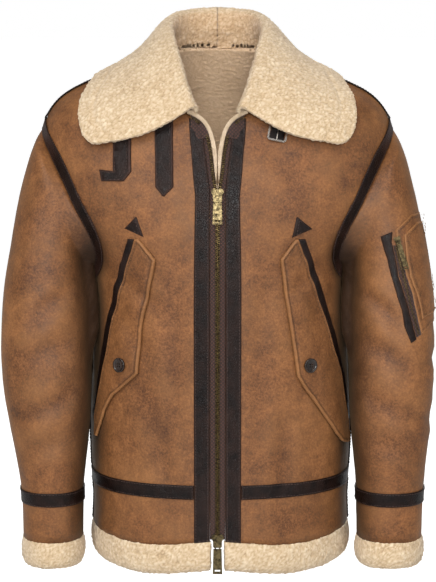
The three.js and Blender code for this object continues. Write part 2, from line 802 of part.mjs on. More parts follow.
// A prism along Y whose outline is given as seen from the front
function prism(outline, near, far) {
  const shape = new THREE.Shape(outline.map(([x, z]) => new THREE.Vector2(x, z)));
  const geometry = new THREE.ExtrudeGeometry(shape, { depth: far - near, bevelEnabled: false, steps: 1 });
  geometry.rotateX(Math.PI / 2);
  geometry.translate(0, far, 0);
  return toSolid(geometry);
}

// The stretch of a wall that lies inside an outline seen from the front
function patch(cells, from, to, outline, near = -260, far = -5) {
  return toGeometry(toSolid(wall(cells, from, to, 0)).intersect(prism(outline, near, far)));
}

const group = new THREE.Group();

const finishes = {
  suede: { color: 0x8d5e31, roughness: 0.85, metalness: 0 },
  dark: { color: 0x2d1f1c, roughness: 0.45, metalness: 0 },
  fur: { color: 0xdfcaa4, roughness: 0.95, metalness: 0 },
  webbing: { color: 0x5a3426, roughness: 0.9, metalness: 0 },
  brass: { color: 0x8a7a4e, roughness: 0.35, metalness: 1 },
  steel: { color: 0xb9b2a6, roughness: 0.25, metalness: 1 },
  horn: { color: 0x1d1512, roughness: 0.3, metalness: 0 },
};

function add(name, geometry, finish, place) {
  const mesh = new THREE.Mesh(geometry, new THREE.MeshStandardMaterial(finishes[finish]));
  mesh.name = name;
  if (place) place(mesh);
  group.add(mesh);
  return mesh;
}

// The shell
const frontLeft = bodyCells(LEFT, FRONT);
const frontRight = bodyCells(RIGHT, FRONT);
const backLeft = bodyCells(LEFT, BACK);
const backRight = bodyCells(RIGHT, BACK);
const sleeveLeft = sleeveCells(LEFT, frontLeft.loop, backLeft.loop);
const sleeveRight = sleeveCells(RIGHT, frontRight.loop, backRight.loop);
const bodyParts = [frontLeft, frontRight, backLeft, backRight].flatMap((part) => part.cells);
const everyCell = [...bodyParts, ...sleeveLeft.cells, ...sleeveRight.cells];
addNormals(everyCell.map((item) => item.corners));
pool.normals.forEach((normal) => normal.normalize());

function pick(filter) {
  return everyCell.filter(filter);
}

add('front_left', wall(frontLeft.cells, -SHEARLING, 0), 'suede');
add('front_right', wall(frontRight.cells, -SHEARLING, 0), 'suede');
add('back', wall([...backLeft.cells, ...backRight.cells], -SHEARLING, 0), 'suede');
for (const side of [LEFT, RIGHT]) {
  for (const face of [FRONT, BACK]) {
    const cells = pick((item) => item.part === 'sleeve' && item.side === side && item.face === face);
    add(`sleeve_${sideName(side)}_${face === FRONT ? 'front' : 'back'}`, wall(cells, -SHEARLING, 0), 'suede');
  }
}


// Tapes that follow whole cells of the shell
const onShell = (cells, thick = TAPE) => wall(cells, SEAM_GAP, SEAM_GAP + thick);
const isPlacket = (item) => item.face === FRONT && item.column === 0;

add('hem_tape', onShell(pick((item) => item.part === 'lower' && item.row === HEM_TAPE_ROWS[0]
  && !isPlacket(item))), 'dark');
for (const side of [LEFT, RIGHT]) {
  const name = sideName(side);
  const sleeve = pick((item) => item.part === 'sleeve' && item.side === side);
  const ring = onShell(pick((item) => item.part === 'armhole' && item.side === side));
  const shell = pick((item) => item.part !== 'sleeve' && item.side === side);
  add(`armhole_tape_${name}`, clearOfCrease(trimmed(ring, wall(sleeve, -SHEARLING, SEAM_GAP, 0)), side), 'dark');
  add(`side_tape_${name}`, sideTape(shell, side, SIDE_TAPE.top, lowerRows[HEM_TAPE_ROWS[1]] + SEAM_GAP), 'dark');
  add(`side_tape_lower_${name}`, sideTape(shell, side, lowerRows[HEM_TAPE_ROWS[0]] - SEAM_GAP, SIDE_TAPE.bottom), 'dark');
  add(`cuff_tape_${name}`, onShell(pick((item) => item.part === 'sleeve' && item.side === side
    && item.row === CUFF_TAPE_ROW)), 'dark');
  add(`shoulder_tape_${name}`, onShell(pick((item) => item.part === 'yoke' && item.side === side
    && item.row === YOKE_ROWS - 1
    && item.column > (item.face === FRONT ? 0 : NECK_COLUMNS))), 'dark');
}

// Pieces cut to an outline and laid on the front
const outlineOf = (rows) => rows.map((row) => [row.x, row.z]);
for (const side of [LEFT, RIGHT]) {
  const name = sideName(side);
  const panel = side === LEFT ? frontLeft.cells : frontRight.cells;
  const strip = panel.filter((item) => item.column === 0 && item.part !== 'armhole');
  add(`placket_${name}`, patch(strip, SEAM_GAP, SEAM_GAP + TAPE,
    placketOutline.map((row) => [side * row.x, row.z])), 'dark');
  const line = pocketLine[name];
  const nearLine = line.map((row) => [row.x - side * 0.4, row.z]);
  const outerLine = line.map((row) => [row.x + side * row.welt, row.z]);
  add(`pocket_welt_${name}`, patch(panel, SEAM_GAP, SEAM_GAP + TAPE,
    [...outlineOf(line), ...outerLine.reverse()]), 'dark');
  add(`pocket_flap_${name}`, patch(panel, SEAM_GAP, SEAM_GAP + FLAP,
    [...outlineOf(flapEdge[name]), ...nearLine.slice().reverse()]), 'suede');
  add(`pocket_arrowhead_${name}`, patch(panel, SEAM_GAP, SEAM_GAP + TAPE, outlineOf(arrowhead[name])), 'dark');
}

// A place on the surface of some cells, found by its position as seen from the front
function seat(cells, x, z) {
  let best = null;
  for (const item of cells) {
    for (const [i, j, k] of splitCell(item.corners)) {
      const [a, b, c] = [i, j, k].map((n) => pool.points[n]);
      const area = (b.x - a.x) * (c.z - a.z) - (c.x - a.x) * (b.z - a.z);
      if (Math.abs(area) < 1e-6) continue;
      const u = ((x - a.x) * (c.z - a.z) - (c.x - a.x) * (z - a.z)) / area;
      const v = ((b.x - a.x) * (z - a.z) - (x - a.x) * (b.z - a.z)) / area;
      if (u < 0 || v < 0 || u + v > 1) continue;
      const y = a.y + u * (b.y - a.y) + v * (c.y - a.y);
      const normal = pool.normals[i].clone().multiplyScalar(1 - u - v)
        .addScaledVector(pool.normals[j], u).addScaledVector(pool.normals[k], v).normalize();
      if (!best || y < best.point.y) best = { point: new THREE.Vector3(x, y, z), normal };
    }
  }
  return best;
}

// Places a mesh modelled with X across, Z up and -Y facing out on the surface
function mountOn(place, lift, tilt = 0) {
  return (mesh) => {
    const outward = place.normal.clone();
    const up = new THREE.Vector3(0, 0, 1).addScaledVector(outward, -outward.z).normalize();
    const across = new THREE.Vector3().crossVectors(up, outward).normalize();
    const basis = new THREE.Matrix4().makeBasis(across, outward.clone().negate(), up);
    mesh.quaternion.setFromRotationMatrix(basis);
    mesh.rotateY(THREE.MathUtils.degToRad(tilt));
    mesh.position.copy(place.point).addScaledVector(outward, lift);
  };
}

// Collar straps with eyelets
for (const [name, outline] of Object.entries(strapOutline)) {
  let solid = toSolid(patch(frontRight.cells, SEAM_GAP, SEAM_GAP + STRAP, outlineOf(outline)));
  for (const eyelet of eyelets.filter((row) => row.strap === name)) {
    const place = seat(frontRight.cells, eyelet.x, eyelet.z);
    const hole = new THREE.CylinderGeometry(EYELET.barrel + 0.4, EYELET.barrel + 0.4, 30, 12);
    const mesh = new THREE.Mesh(hole);
    mountOn(place, 0)(mesh);
    mesh.updateMatrixWorld(true);
    solid = solid.subtract(toSolid(hole.clone().applyMatrix4(mesh.matrixWorld)));
  }
  add(`collar_strap_${name}`, toGeometry(solid), 'dark');
}

function eyeletGeometry() {
  const { hole, barrel, flange, lip } = EYELET;
  const profile = [
    [hole, 1.1],
    [barrel, 1.1],
    [barrel, STRAP + 0.8],
    [flange, STRAP + 0.8],
    [flange - 0.5, STRAP + 0.8 + lip],
    [hole, STRAP + 0.8 + lip * 0.8],
    [hole, 1.1],
  ].map(([radius, height]) => new THREE.Vector2(radius, height));
  const geometry = new THREE.LatheGeometry(profile, 10);
  geometry.rotateX(Math.PI);
  return geometry;
}
for (const eyelet of eyelets) {
  add(`eyelet_${eyelet.name}`, eyeletGeometry(), 'steel', mountOn(seat(frontRight.cells, eyelet.x, eyelet.z), 0));
}

// Zip tapes stand in the opening, between the teeth and the edge of each front
function newSurface(rows) {
  const first = pool.points.length;
  const cells = [];
  for (let r = 0; r < rows.length - 1; r++) {
    for (let c = 0; c < rows[r].length - 1; c++) {
      cells.push({ corners: cell(rows[r][c], rows[r][c + 1], rows[r + 1][c + 1], rows[r + 1][c], false) });
    }
  }
  addNormals(cells.map((item) => item.corners));
  for (let n = first; n < pool.normals.length; n++) pool.normals[n].normalize();
  return cells;
}

const ZIP_TAPE = { top: -88, bottom: -671, sink: 1.1, thick: 1.2 };

function zipTape(side, edge) {
  const rows = edge
    .filter((point) => point.z < ZIP_TAPE.top + 6)
    .map((point) => Math.min(Math.max(point.z, ZIP_TAPE.bottom), ZIP_TAPE.top))
    .map((z) => ['teeth', 'panel'].map((column) => {
      const inset = column === 'panel' ? -SEAM_GAP : 0;
      const x = lookup(openingTable, 'z', column, z) + inset;
      return bodyPoint(side, FRONT, turnAtX(side, z, x), z);
    }));
  const cells = newSurface(side === LEFT ? rows : rows.map((row) => row.slice().reverse()));
  return wall(cells, -ZIP_TAPE.sink - ZIP_TAPE.thick, -ZIP_TAPE.sink, 0);
}
add('zip_tape_left', zipTape(LEFT, frontLeft.edge), 'webbing');
add('zip_tape_right', zipTape(RIGHT, frontRight.edge), 'webbing');

// The collar: rises from the neckline, rolls over and falls as a wide leaf
function neckSeam(side, front, back) {
  return [...front.neck.map((point) => point), ...back.neck.slice(0, -1).reverse()].map((point) => pooled(point));
}

function collarStation(t, seamNumber, side) {
  const seam = pool.points[seamNumber];
  const rows = collarTable.map((row, i) => ({ i, ...row }));
  const at = t * (rows.length - 1);
  const spot = (prefix) => new THREE.Vector3(
    side * lookup(rows, 'i', `${prefix}x`, at),
    lookup(rows, 'i', `${prefix}y`, at),
    lookup(rows, 'i', `${prefix}z`, at),
  );
  const roll = spot('r');
  const middle = spot('m');
  const edge = spot('e');
  const rise = roll.clone().sub(seam).normalize();
  const out = edge.clone().sub(roll);
  out.addScaledVector(rise, -out.dot(rise)).normalize();
  const normal = pool.normals[seamNumber];
  const foot = seam.clone().addScaledVector(normal, -SHEARLING / 2);
  return {
    seam: foot,
    inner: roll.clone().addScaledVector(out, -COLLAR_ROLL).addScaledVector(rise, -2),
    crest: roll.clone().addScaledVector(rise, COLLAR_ROLL * 0.8),
    outer: roll.clone().addScaledVector(out, COLLAR_ROLL).addScaledVector(rise, -2),
    middle,
    edge,
    footNormal: normal,
  };
}

function collarSection(station) {
  const names = [...collarSteps.map((row) => row.from), 'edge'];
  const curve = new THREE.CatmullRomCurve3(names.map((name) => station[name]), false, 'centripetal');
  const points = [];
  collarSteps.forEach((row, i) => {
    for (let k = 0; k < row.steps; k++) points.push(curve.getPoint((i + k / row.steps) / collarSteps.length));
  });
  points.push(station.edge.clone());
  return points;
}

// Distance outside the shell, measured along the nearest point's normal
function shellHeight(point, numbers) {
  let near = numbers[0];
  let best = Infinity;
  for (const n of numbers) {
    const gap = pool.points[n].distanceToSquared(point);
    if (gap < best) {
      best = gap;
      near = n;
    }
  }
  return { height: point.clone().sub(pool.points[near]).dot(pool.normals[near]), normal: pool.normals[near] };
}

const shellNumbers = [...new Set([...bodyParts, ...sleeveLeft.cells, ...sleeveRight.cells]
  .filter((item) => item.part !== 'lower')
  .flatMap((item) => item.corners))];

function collarGrid() {
  const left = neckSeam(LEFT, frontLeft, backLeft);
  const right = neckSeam(RIGHT, frontRight, backRight);
  const count = left.length - 1;
  const leftRows = left.map((n, i) => ({ n, side: LEFT, t: i / count }));
  const rightRows = right.map((n, i) => ({ n, side: RIGHT, t: i / count })).slice(0, -1).reverse();
  return [...leftRows, ...rightRows].map(({ n, side, t }) => {
    const points = collarSection(collarStation(t, n, side));
    const leafStart = collarSteps.slice(0, 3).reduce((sum, row) => sum + row.steps, 0);
    const lift = COLLAR_LIFT.front + (COLLAR_LIFT.back - COLLAR_LIFT.front) * Math.min(t * 2.2, 1);
    for (let k = leafStart; k < points.length; k++) {
      for (let tries = 0; tries < 4; tries++) {
        const { height, normal } = shellHeight(points[k], shellNumbers);
        if (height < lift) points[k].addScaledVector(normal, lift - height);
      }
    }
    return { points, n };
  });
}

// Walls built on both sides of a middle surface, with the neck edge shaped to the shell's edge
function collarGeometry() {
  const grid = collarGrid();
  const across = grid[0].points.length;
  const at = (r, c) => grid[Math.min(Math.max(r, 0), grid.length - 1)].points[Math.min(Math.max(c, 0), across - 1)];
  const positions = [];
  for (const level of [1, -1]) {
    grid.forEach((row, r) => row.points.forEach((point, c) => {
      const around = at(r + 1, c).clone().sub(at(r - 1, c));
      const down = at(r, c + 1).clone().sub(at(r, c - 1));
      const normal = down.cross(around).normalize();
      const taper = Math.min(1, 0.55 + 0.25 * (across - 1 - c), 0.62 + 0.3 * Math.min(r, grid.length - 1 - r));
      const half = (COLLAR_WALL / 2) * taper;
      const moved = c === 0
        ? footPoint(row.n, level)
        : point.clone().addScaledVector(normal, level * half);
      positions.push(moved.x, moved.y, moved.z);
    }));
  }
  const rows = grid.length;
  const number = (level, r, c) => level * rows * across + r * across + c;
  const faces = [];
  const quad = (a, b, c, d) => faces.push(a, b, c, a, c, d);
  for (let r = 0; r < rows - 1; r++) {
    for (let c = 0; c < across - 1; c++) {
      quad(number(0, r, c), number(0, r, c + 1), number(0, r + 1, c + 1), number(0, r + 1, c));
      quad(number(1, r, c), number(1, r + 1, c), number(1, r + 1, c + 1), number(1, r, c + 1));
    }
    quad(number(0, r, 0), number(0, r + 1, 0), number(1, r + 1, 0), number(1, r, 0));
    quad(number(0, r, across - 1), number(1, r, across - 1), number(1, r + 1, across - 1), number(0, r + 1, across - 1));
  }
  for (let c = 0; c < across - 1; c++) {
    quad(number(0, 0, c), number(1, 0, c), number(1, 0, c + 1), number(0, 0, c + 1));
    quad(number(0, rows - 1, c), number(0, rows - 1, c + 1), number(1, rows - 1, c + 1), number(1, rows - 1, c));
  }
  const geometry = new THREE.BufferGeometry();
  geometry.setAttribute('position', new THREE.Float32BufferAttribute(positions, 3));
  geometry.setIndex(faces);
  return geometry;
}

const neckCentre = new THREE.Vector3(0, -10, 20);

function footPoint(n, level) {
  const depthIn = level > 0 ? 0 : -SHEARLING;
  const seam = pool.points[n];
  const inward = neckCentre.clone().sub(seam);
  inward.addScaledVector(pool.normals[n], -inward.dot(pool.normals[n])).normalize();
  return seam.clone().addScaledVector(pool.normals[n], depthIn).addScaledVector(inward, SEAM_GAP);
}

// Bands of fleece that show below the hem and the cuffs
function band(path, profile, closed) {
  const positions = path.flatMap(({ point, outward }) => profile.flatMap((row) => [
    point.x + outward.x * row.out,
    point.y + outward.y * row.out,
    point.z + row.up,
  ]));
  const n = profile.length;
  const faces = [];
  const last = closed ? path.length : path.length - 1;
  for (let r = 0; r < last; r++) {
    const next = (r + 1) % path.length;
    for (let c = 0; c < n; c++) {
      const d = (c + 1) % n;
      faces.push(r * n + c, r * n + d, next * n + d, r * n + c, next * n + d, next * n + c);
    }
  }
  if (!closed) {
    const contour = profile.map((row) => new THREE.Vector2(row.out, row.up));
    const end = (path.length - 1) * n;
    for (const [i, j, k] of THREE.ShapeUtils.triangulateShape(contour, [])) {
      faces.push(i, j, k, end + k, end + j, end + i);
    }
  }
  const geometry = new THREE.BufferGeometry();
  geometry.setAttribute('position', new THREE.Float32BufferAttribute(positions, 3));
  geometry.setIndex(faces);
  return geometry.index && volumeOf(geometry) < 0 ? reversed(geometry) : geometry;
}

function volumeOf(geometry) {
  const p = geometry.attributes.position;
  const corner = (i) => new THREE.Vector3().fromBufferAttribute(p, i);
  let sum = 0;
  for (let i = 0; i < geometry.index.count; i += 3) {
    const [a, b, c] = [0, 1, 2].map((k) => corner(geometry.index.getX(i + k)));
    sum += a.dot(b.cross(c)) / 6;
  }
  return sum;
}

function reversed(geometry) {
  geometry.setIndex(Array.from(geometry.index.array).reverse());
  return geometry;
}

function flatOut(vector) {
  return new THREE.Vector3(vector.x, vector.y, 0).normalize();
}

function hemPath() {
  const rim = (part) => part.hem.map((point) => ({ point, outward: flatOut(pool.normals[pooled(point)]) }));
  const ends = [rim(frontLeft), rim(backLeft).slice(0, -1).reverse(), rim(backRight).slice(1), rim(frontRight).slice(0, -1).reverse()];
  const path = ends.flat();
  path[0].point = path[0].point.clone().setX(HEM_END_X);
  path.at(-1).point = path.at(-1).point.clone().setX(-HEM_END_X);
  return path;
}
add('hem_fleece', band(hemPath(), hemProfile, false), 'fur');
const cuffProfile = hemProfile.map((row) => ({ out: row.out * CUFF_SCALE, up: row.up * CUFF_SCALE }));
for (const [side, sleeve] of [[LEFT, sleeveLeft], [RIGHT, sleeveRight]]) {
  const ring = sleeve.rings.at(-1).map((point) => ({ point, outward: flatOut(pool.normals[pooled(point)]) }));
  add(`cuff_fleece_${sideName(side)}`, band(ring, cuffProfile, true), 'fur');
}

// Sleeve pocket, on the wearer's left sleeve
const sleeveFront = sleeveLeft.cells.filter((item) => item.face === FRONT || item.column >= 2 * YOKE_ROWS - 4);
add('sleeve_pocket_welt', patch(sleeveFront, SEAM_GAP, SEAM_GAP + TAPE, outlineOf(sleevePocket.welt)), 'dark');
add('sleeve_pocket_zip_tape', patch(sleeveFront, SEAM_GAP, SEAM_GAP + 1, outlineOf(sleevePocket.tape)), 'webbing');
add('sleeve_pocket_patch', patch(sleeveFront, SEAM_GAP, SEAM_GAP + TAPE,
  outlineOf(sleevePocket.patch), -260, -38), 'suede');
add('sleeve_pen_pocket', patch(sleeveFront, 2 * SEAM_GAP + TAPE, 2 * SEAM_GAP + 2 * TAPE,
  outlineOf(sleevePocket.pen), -260, -44), 'suede');

// Buttons of horn, sewn through four holes
function buttonGeometry() {
  const { radius, thick, holes, spread } = BUTTON;
  const profile = [
    [0, 0],
    [radius - 1.2, 0],
    [radius, 1],
    [radius, thick - 1.2],
    [radius - 1, thick],
    [radius - 2.6, thick - 0.3],
    [radius - 3.8, thick - 1.1],
    [0, thick - 1.1],
  ].map(([r, h]) => new THREE.Vector2(r, h));
  let solid = toSolid(new THREE.LatheGeometry(profile, 16));
  for (const [x, z] of [[1, 1], [1, -1], [-1, -1], [-1, 1]]) {
    const hole = new THREE.CylinderGeometry(holes, holes, 12, 6);
    hole.translate(x * spread * 0.7, 0, z * spread * 0.7);
    solid = solid.subtract(toSolid(hole));
  }
  const geometry = toGeometry(solid);
  geometry.rotateX(Math.PI);
  return geometry;
}
for (const [name, row] of Object.entries(buttons)) {
  const cells = name === 'left' ? frontLeft.cells : frontRight.cells;
  add(`button_${name}`, buttonGeometry(), 'horn', mountOn(seat(cells, row.x, row.z), FLAP + 2 * SEAM_GAP + 0.3));
}

// Zip hardware, modelled with X across, Z up and -Y facing out, its top at the origin
const SLIDER = { lobe: 8.5, waist: 6.3, height: 19, plate: 2, bridge: 3.6, rise: 2.1 };
const TAB = { axis: -11, bar: 0.75, arm: 1.7, thick: 1.5, wide: 6.7, narrow: 5.8, start: 20 };

function plate(points, near, far) {
  const shape = new THREE.Shape(points.map(([x, z]) => new THREE.Vector2(x, z)));
  const geometry = new THREE.ExtrudeGeometry(shape, { depth: far - near, bevelEnabled: false });
  geometry.rotateX(Math.PI / 2);
  geometry.translate(0, far, 0);
  return toSolid(geometry);
}

function block(x0, x1, y0, y1, z0, z1) {
  const box = new THREE.BoxGeometry(x1 - x0, y1 - y0, z1 - z0);
  box.translate((x0 + x1) / 2, (y0 + y1) / 2, (z0 + z1) / 2);
  return toSolid(box);
}

function sliderOutline() {
  const { lobe, waist, height } = SLIDER;
  const half = [[2.2, -1.2], [4.5, 0], [lobe - 1.2, -0.8], [lobe, -3.2], [lobe, -5.6], [waist, -10],
    [waist, -height + 1.5], [waist - 1.5, -height]];
  return [...half, ...half.map(([x, z]) => [-x, z]).reverse()];
}

// Front plate, bridge and, where the tape runs through it, a post and a back plate
function sliderSolid(withBack) {
  const { plate: thick, bridge, rise } = SLIDER;
  const half = bridge / 2;
  let solid = plate(sliderOutline(), -0.3 - thick, -0.3);
  const roof = -0.3 - thick - rise;
  solid = solid.add(block(-half, half, roof - 1.6, roof, -14, -2));
  solid = solid.add(block(-half, half, roof - 1, -1.2, -4, -2));
  solid = solid.add(block(-half, half, roof - 1, -1.2, -14, -12.4));
  if (withBack) {
    solid = solid.add(plate(sliderOutline(), 3.7, 5.3));
    solid = solid.add(block(-0.45, 0.45, -1.2, 4.5, -7.5, -3));
  }
  return solid;
}

// The pull tab: a bar under the bridge, two arms and a framed plate with a slot at its foot
function tabSolid(length) {
  const { axis, bar, arm, thick, wide, narrow, start } = TAB;
  const middle = -0.3 - SLIDER.plate - SLIDER.rise / 2;
  const near = middle - thick / 2;
  const far = middle + thick / 2;
  const inner = SLIDER.bridge / 2 + 0.4;
  const axle = new THREE.CylinderGeometry(bar, bar, 2 * (inner + arm), 12);
  axle.rotateZ(Math.PI / 2);
  axle.translate(0, middle, axis);
  let solid = toSolid(axle);
  for (const side of [LEFT, RIGHT]) {
    const from = side === LEFT ? inner : -inner - arm;
    solid = solid.add(block(from, from + arm, near, far, -start - 1, axis));
  }
  solid = solid.add(plate([[-narrow, -start], [-wide, -length], [wide, -length], [narrow, -start]], near + 0.3, far));
  const rails = plate([[-narrow, -start], [-wide, -length], [wide, -length], [narrow, -start]], near - 0.3, far)
    .subtract(plate([[1.6 - narrow, -start - 1.6], [1.6 - wide, 1.6 - length], [wide - 1.6, 1.6 - length],
      [narrow - 1.6, -start - 1.6]], near - 5, near + 0.25));
  solid = solid.add(rails);
  return solid.subtract(block(-3.8, 3.8, near - 5, far + 5, 3.4 - length, 6 - length));
}

// A seat in the zip's own surface at the centre line
function zipSeat(z) {
  const place = { point: bodyPoint(LEFT, FRONT, 0, z), normal: bodyNormal(LEFT, FRONT, { turn: 0.02, z: z - 18 }) };
  place.normal.setX(0).normalize();
  return place;
}

function scaled(solid, size) {
  const geometry = toGeometry(solid);
  geometry.scale(size, size, size);
  return geometry;
}

const TAB_LENGTH = { top: 49.5, bottom: 56, sleeve: 82 };
add('slider_top', toGeometry(sliderSolid(true)), 'brass', mountOn(zipSeat(TOP_SLIDER_Z), 0));
add('pull_tab_top', toGeometry(tabSolid(TAB_LENGTH.top)), 'brass', mountOn(zipSeat(TOP_SLIDER_Z), 0));
add('slider_bottom', toGeometry(sliderSolid(true)), 'brass', mountOn(zipSeat(BOTTOM_SLIDER_Z), 0));
add('pull_tab_bottom', toGeometry(tabSolid(TAB_LENGTH.bottom)), 'brass', mountOn(zipSeat(BOTTOM_SLIDER_Z), 0));
const sleeveSeat = seat(sleeveFront, SLEEVE_SLIDER.x, SLEEVE_SLIDER.z);
const sleeveMount = mountOn(sleeveSeat, TAPE + SEAM_GAP + 0.4, SLEEVE_SLIDER.tilt);
add('slider_sleeve', scaled(sliderSolid(false), SLEEVE_SLIDER.scale), 'brass', sleeveMount);
add('pull_tab_sleeve', scaled(tabSolid(TAB_LENGTH.sleeve), SLEEVE_SLIDER.scale), 'brass', sleeveMount);

// Unfastened buckles below the other side of the collar: keeper, frame and prong
function buckleFrame() {
  const { width, height, wire } = BUCKLE;
  const ring = (half, tall, bevel) => [[-half + bevel, tall], [half - bevel, tall], [half, tall - bevel],
    [half, -tall + bevel], [half - bevel, -tall], [-half + bevel, -tall], [-half, -tall + bevel], [-half, tall - bevel]];
  return plate(ring(width / 2, height / 2, 3), -wire, 0)
    .subtract(plate(ring(width / 2 - wire, height / 2 - wire, 1.2), -wire - 5, 5));
}

// The prong leaves the keeper under its fold and rests on the frame's lower bar
function prong() {
  const { height, wire } = BUCKLE;
  const top = new THREE.Vector3(0, -wire / 2, height / 2 - wire - 1.4);
  const end = new THREE.Vector3(0, -wire - 1.3, 0.4 - height / 2);
  const bar = new THREE.CylinderGeometry(0.8, 0.8, top.distanceTo(end), 8);
  const turn = new THREE.Quaternion().setFromUnitVectors(new THREE.Vector3(0, 1, 0), top.clone().sub(end).normalize());
  bar.applyQuaternion(turn);
  bar.translate(...top.add(end).multiplyScalar(0.5).toArray());
  return bar;
}

// The keeper lies under the frame and is folded over its upper bar
function keeper(place, lift, buckle) {
  const half = BUCKLE.width / 2 - BUCKLE.wire - 1;
  const top = BUCKLE.height / 2;
  const turn = THREE.MathUtils.degToRad(BUCKLE.tilt);
  const outline = [[-half, top + 3], [half, top + 3], [half, -9], [-half, -9]].map(([x, z]) => [
    buckle.x + x * Math.cos(turn) - z * Math.sin(turn),
    buckle.z + x * Math.sin(turn) + z * Math.cos(turn),
  ]);
  const over = -BUCKLE.wire - SEAM_GAP;
  const fold = block(-half + 0.5, half - 0.5, over - KEEPER.fold, over, top - 7, top + 2)
    .add(block(-half + 0.5, half - 0.5, over - KEEPER.fold, lift - 0.9, top + 0.4, top + 2))
    .subtract(block(-1.4, 1.4, over - 5, over + 1, top - 8, top - 5));
  const mesh = new THREE.Mesh(toGeometry(fold));
  mountOn(place, lift, -BUCKLE.tilt)(mesh);
  mesh.updateMatrixWorld(true);
  const base = toSolid(patch(frontLeft.cells, SEAM_GAP, SEAM_GAP + KEEPER.base, outline));
  return toGeometry(base.add(toSolid(mesh.geometry.applyMatrix4(mesh.matrixWorld))));
}

for (const buckle of buckles) {
  const place = seat(frontLeft.cells, buckle.x, buckle.z);
  const { lift } = buckle;
  add(`buckle_keeper_${buckle.name}`, keeper(place, lift, buckle), 'dark');
  add(`buckle_frame_${buckle.name}`, toGeometry(buckleFrame()), 'steel', mountOn(place, lift, -BUCKLE.tilt));
  add(`buckle_prong_${buckle.name}`, prong(), 'steel', mountOn(place, lift, -BUCKLE.tilt));
}

// The collar gives way over the shoulder tapes and the buckles
const underCollar = pick((item) => item.part === 'yoke' && item.row === YOKE_ROWS - 1);
let collar = trimmed(collarGeometry(), wall(underCollar, 0, TAPE + 2 * SEAM_GAP, 0));
for (const buckle of buckles) {
  const half = BUCKLE.width / 2 + SEAM_GAP;
  const room = new THREE.Mesh(toGeometry(block(-half, half, -BUCKLE.wire - KEEPER.fold - 2 * SEAM_GAP, 2, -half, half + 3)));
  mountOn(seat(frontLeft.cells, buckle.x, buckle.z), buckle.lift, -BUCKLE.tilt)(room);
  room.updateMatrixWorld(true);
  collar = trimmed(collar, room.geometry.applyMatrix4(room.matrixWorld));
}

// It is cut in two halves, joined at the centre back
for (const side of [LEFT, RIGHT]) {
  const [from, to] = side === LEFT ? [SEAM_GAP / 2, 400] : [-400, -SEAM_GAP / 2];
  const half = toSolid(collar).intersect(block(from, to, -400, 400, -400, 400));
  add(`collar_${sideName(side)}`, toGeometry(half), 'fur');
}

export default group;
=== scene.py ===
"""Looks of a short shearling flight jacket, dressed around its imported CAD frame.

Metres, +Z up, the front faces -Y and +X is the wearer's left. Sizes named *_mm are in millimetres.
"""

from __future__ import annotations

import logging
import math
from dataclasses import dataclass, field
from enum import Enum
from typing import Callable, Iterable, Sequence

import bmesh
import bpy
import numpy as np
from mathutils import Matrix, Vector, noise
from mathutils.bvhtree import BVHTree
from mathutils.kdtree import KDTree


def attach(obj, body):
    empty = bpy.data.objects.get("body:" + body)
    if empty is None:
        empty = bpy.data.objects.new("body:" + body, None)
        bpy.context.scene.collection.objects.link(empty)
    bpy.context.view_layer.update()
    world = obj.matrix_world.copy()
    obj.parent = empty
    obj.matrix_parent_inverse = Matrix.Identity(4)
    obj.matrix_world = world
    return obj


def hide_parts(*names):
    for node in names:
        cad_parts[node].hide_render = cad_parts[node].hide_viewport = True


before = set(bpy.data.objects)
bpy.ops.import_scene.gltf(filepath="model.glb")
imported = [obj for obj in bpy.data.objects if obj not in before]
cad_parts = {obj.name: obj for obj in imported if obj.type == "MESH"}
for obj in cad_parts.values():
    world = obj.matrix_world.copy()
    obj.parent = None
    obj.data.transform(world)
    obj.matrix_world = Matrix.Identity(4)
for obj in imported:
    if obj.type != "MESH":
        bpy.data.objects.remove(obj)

LOG = logging.getLogger("jacket")
MM = 0.001
Point = tuple[float, float]
Mesh3 = tuple[np.ndarray, list[tuple[int, ...]]]
JACKET = "jacket"


# ---------------------------------------------------------------- workbench


def smoothstep(low: float, high: float, value: np.ndarray | float) -> np.ndarray:
    """Eases from 0 at low to 1 at high.

    Args:
        low: Where the step starts.
        high: Where it ends; it may be below low.
        value: The numbers to ease.

    Returns:
        The eased numbers, from 0 to 1.
    """
    t = np.clip((np.asarray(value, float) - low) / (high - low), 0.0, 1.0)
    return t * t * (3 - 2 * t)


def deselect() -> None:
    """Leaves object mode selected with nothing picked."""
    if bpy.context.object and bpy.context.object.mode != "OBJECT":
        bpy.ops.object.mode_set(mode="OBJECT")
    bpy.ops.object.select_all(action="DESELECT")


def pick(piece: bpy.types.Object) -> None:
    """Selects one object alone and makes it active."""
    deselect()
    piece.select_set(True)
    bpy.context.view_layer.objects.active = piece


def finish_modifiers(piece: bpy.types.Object) -> None:
    """Applies every modifier of a piece, in order."""
    pick(piece)
    for modifier in list(piece.modifiers):
        bpy.ops.object.modifier_apply(modifier=modifier.name)


def new_piece(name: str, verts: np.ndarray, faces: Sequence[Sequence[int]]) -> bpy.types.Object:
    """Makes a mesh object from points and faces.

    Args:
        name: The piece's name.
        verts: Points in metres, one row each.
        faces: Point numbers of each face, anticlockwise from outside.

    Returns:
        The new object, at the origin.
    """
    mesh = bpy.data.meshes.new(name)
    mesh.from_pydata([tuple(v) for v in verts], [], [tuple(f) for f in faces])
    mesh.validate()
    piece = bpy.data.objects.new(name, mesh)
    bpy.context.scene.collection.objects.link(piece)
    return piece


def points_of(piece: bpy.types.Object) -> np.ndarray:
    """Gives a mesh's points as rows of metres."""
    flat = np.zeros(len(piece.data.vertices) * 3, np.float32)
    piece.data.vertices.foreach_get("co", flat)
    return flat.reshape(-1, 3).astype(float)


def normals_of(piece: bpy.types.Object) -> np.ndarray:
    """Gives a mesh's point normals as rows."""
    flat = np.zeros(len(piece.data.vertices) * 3, np.float32)
    piece.data.vertices.foreach_get("normal", flat)
    return flat.reshape(-1, 3).astype(float)


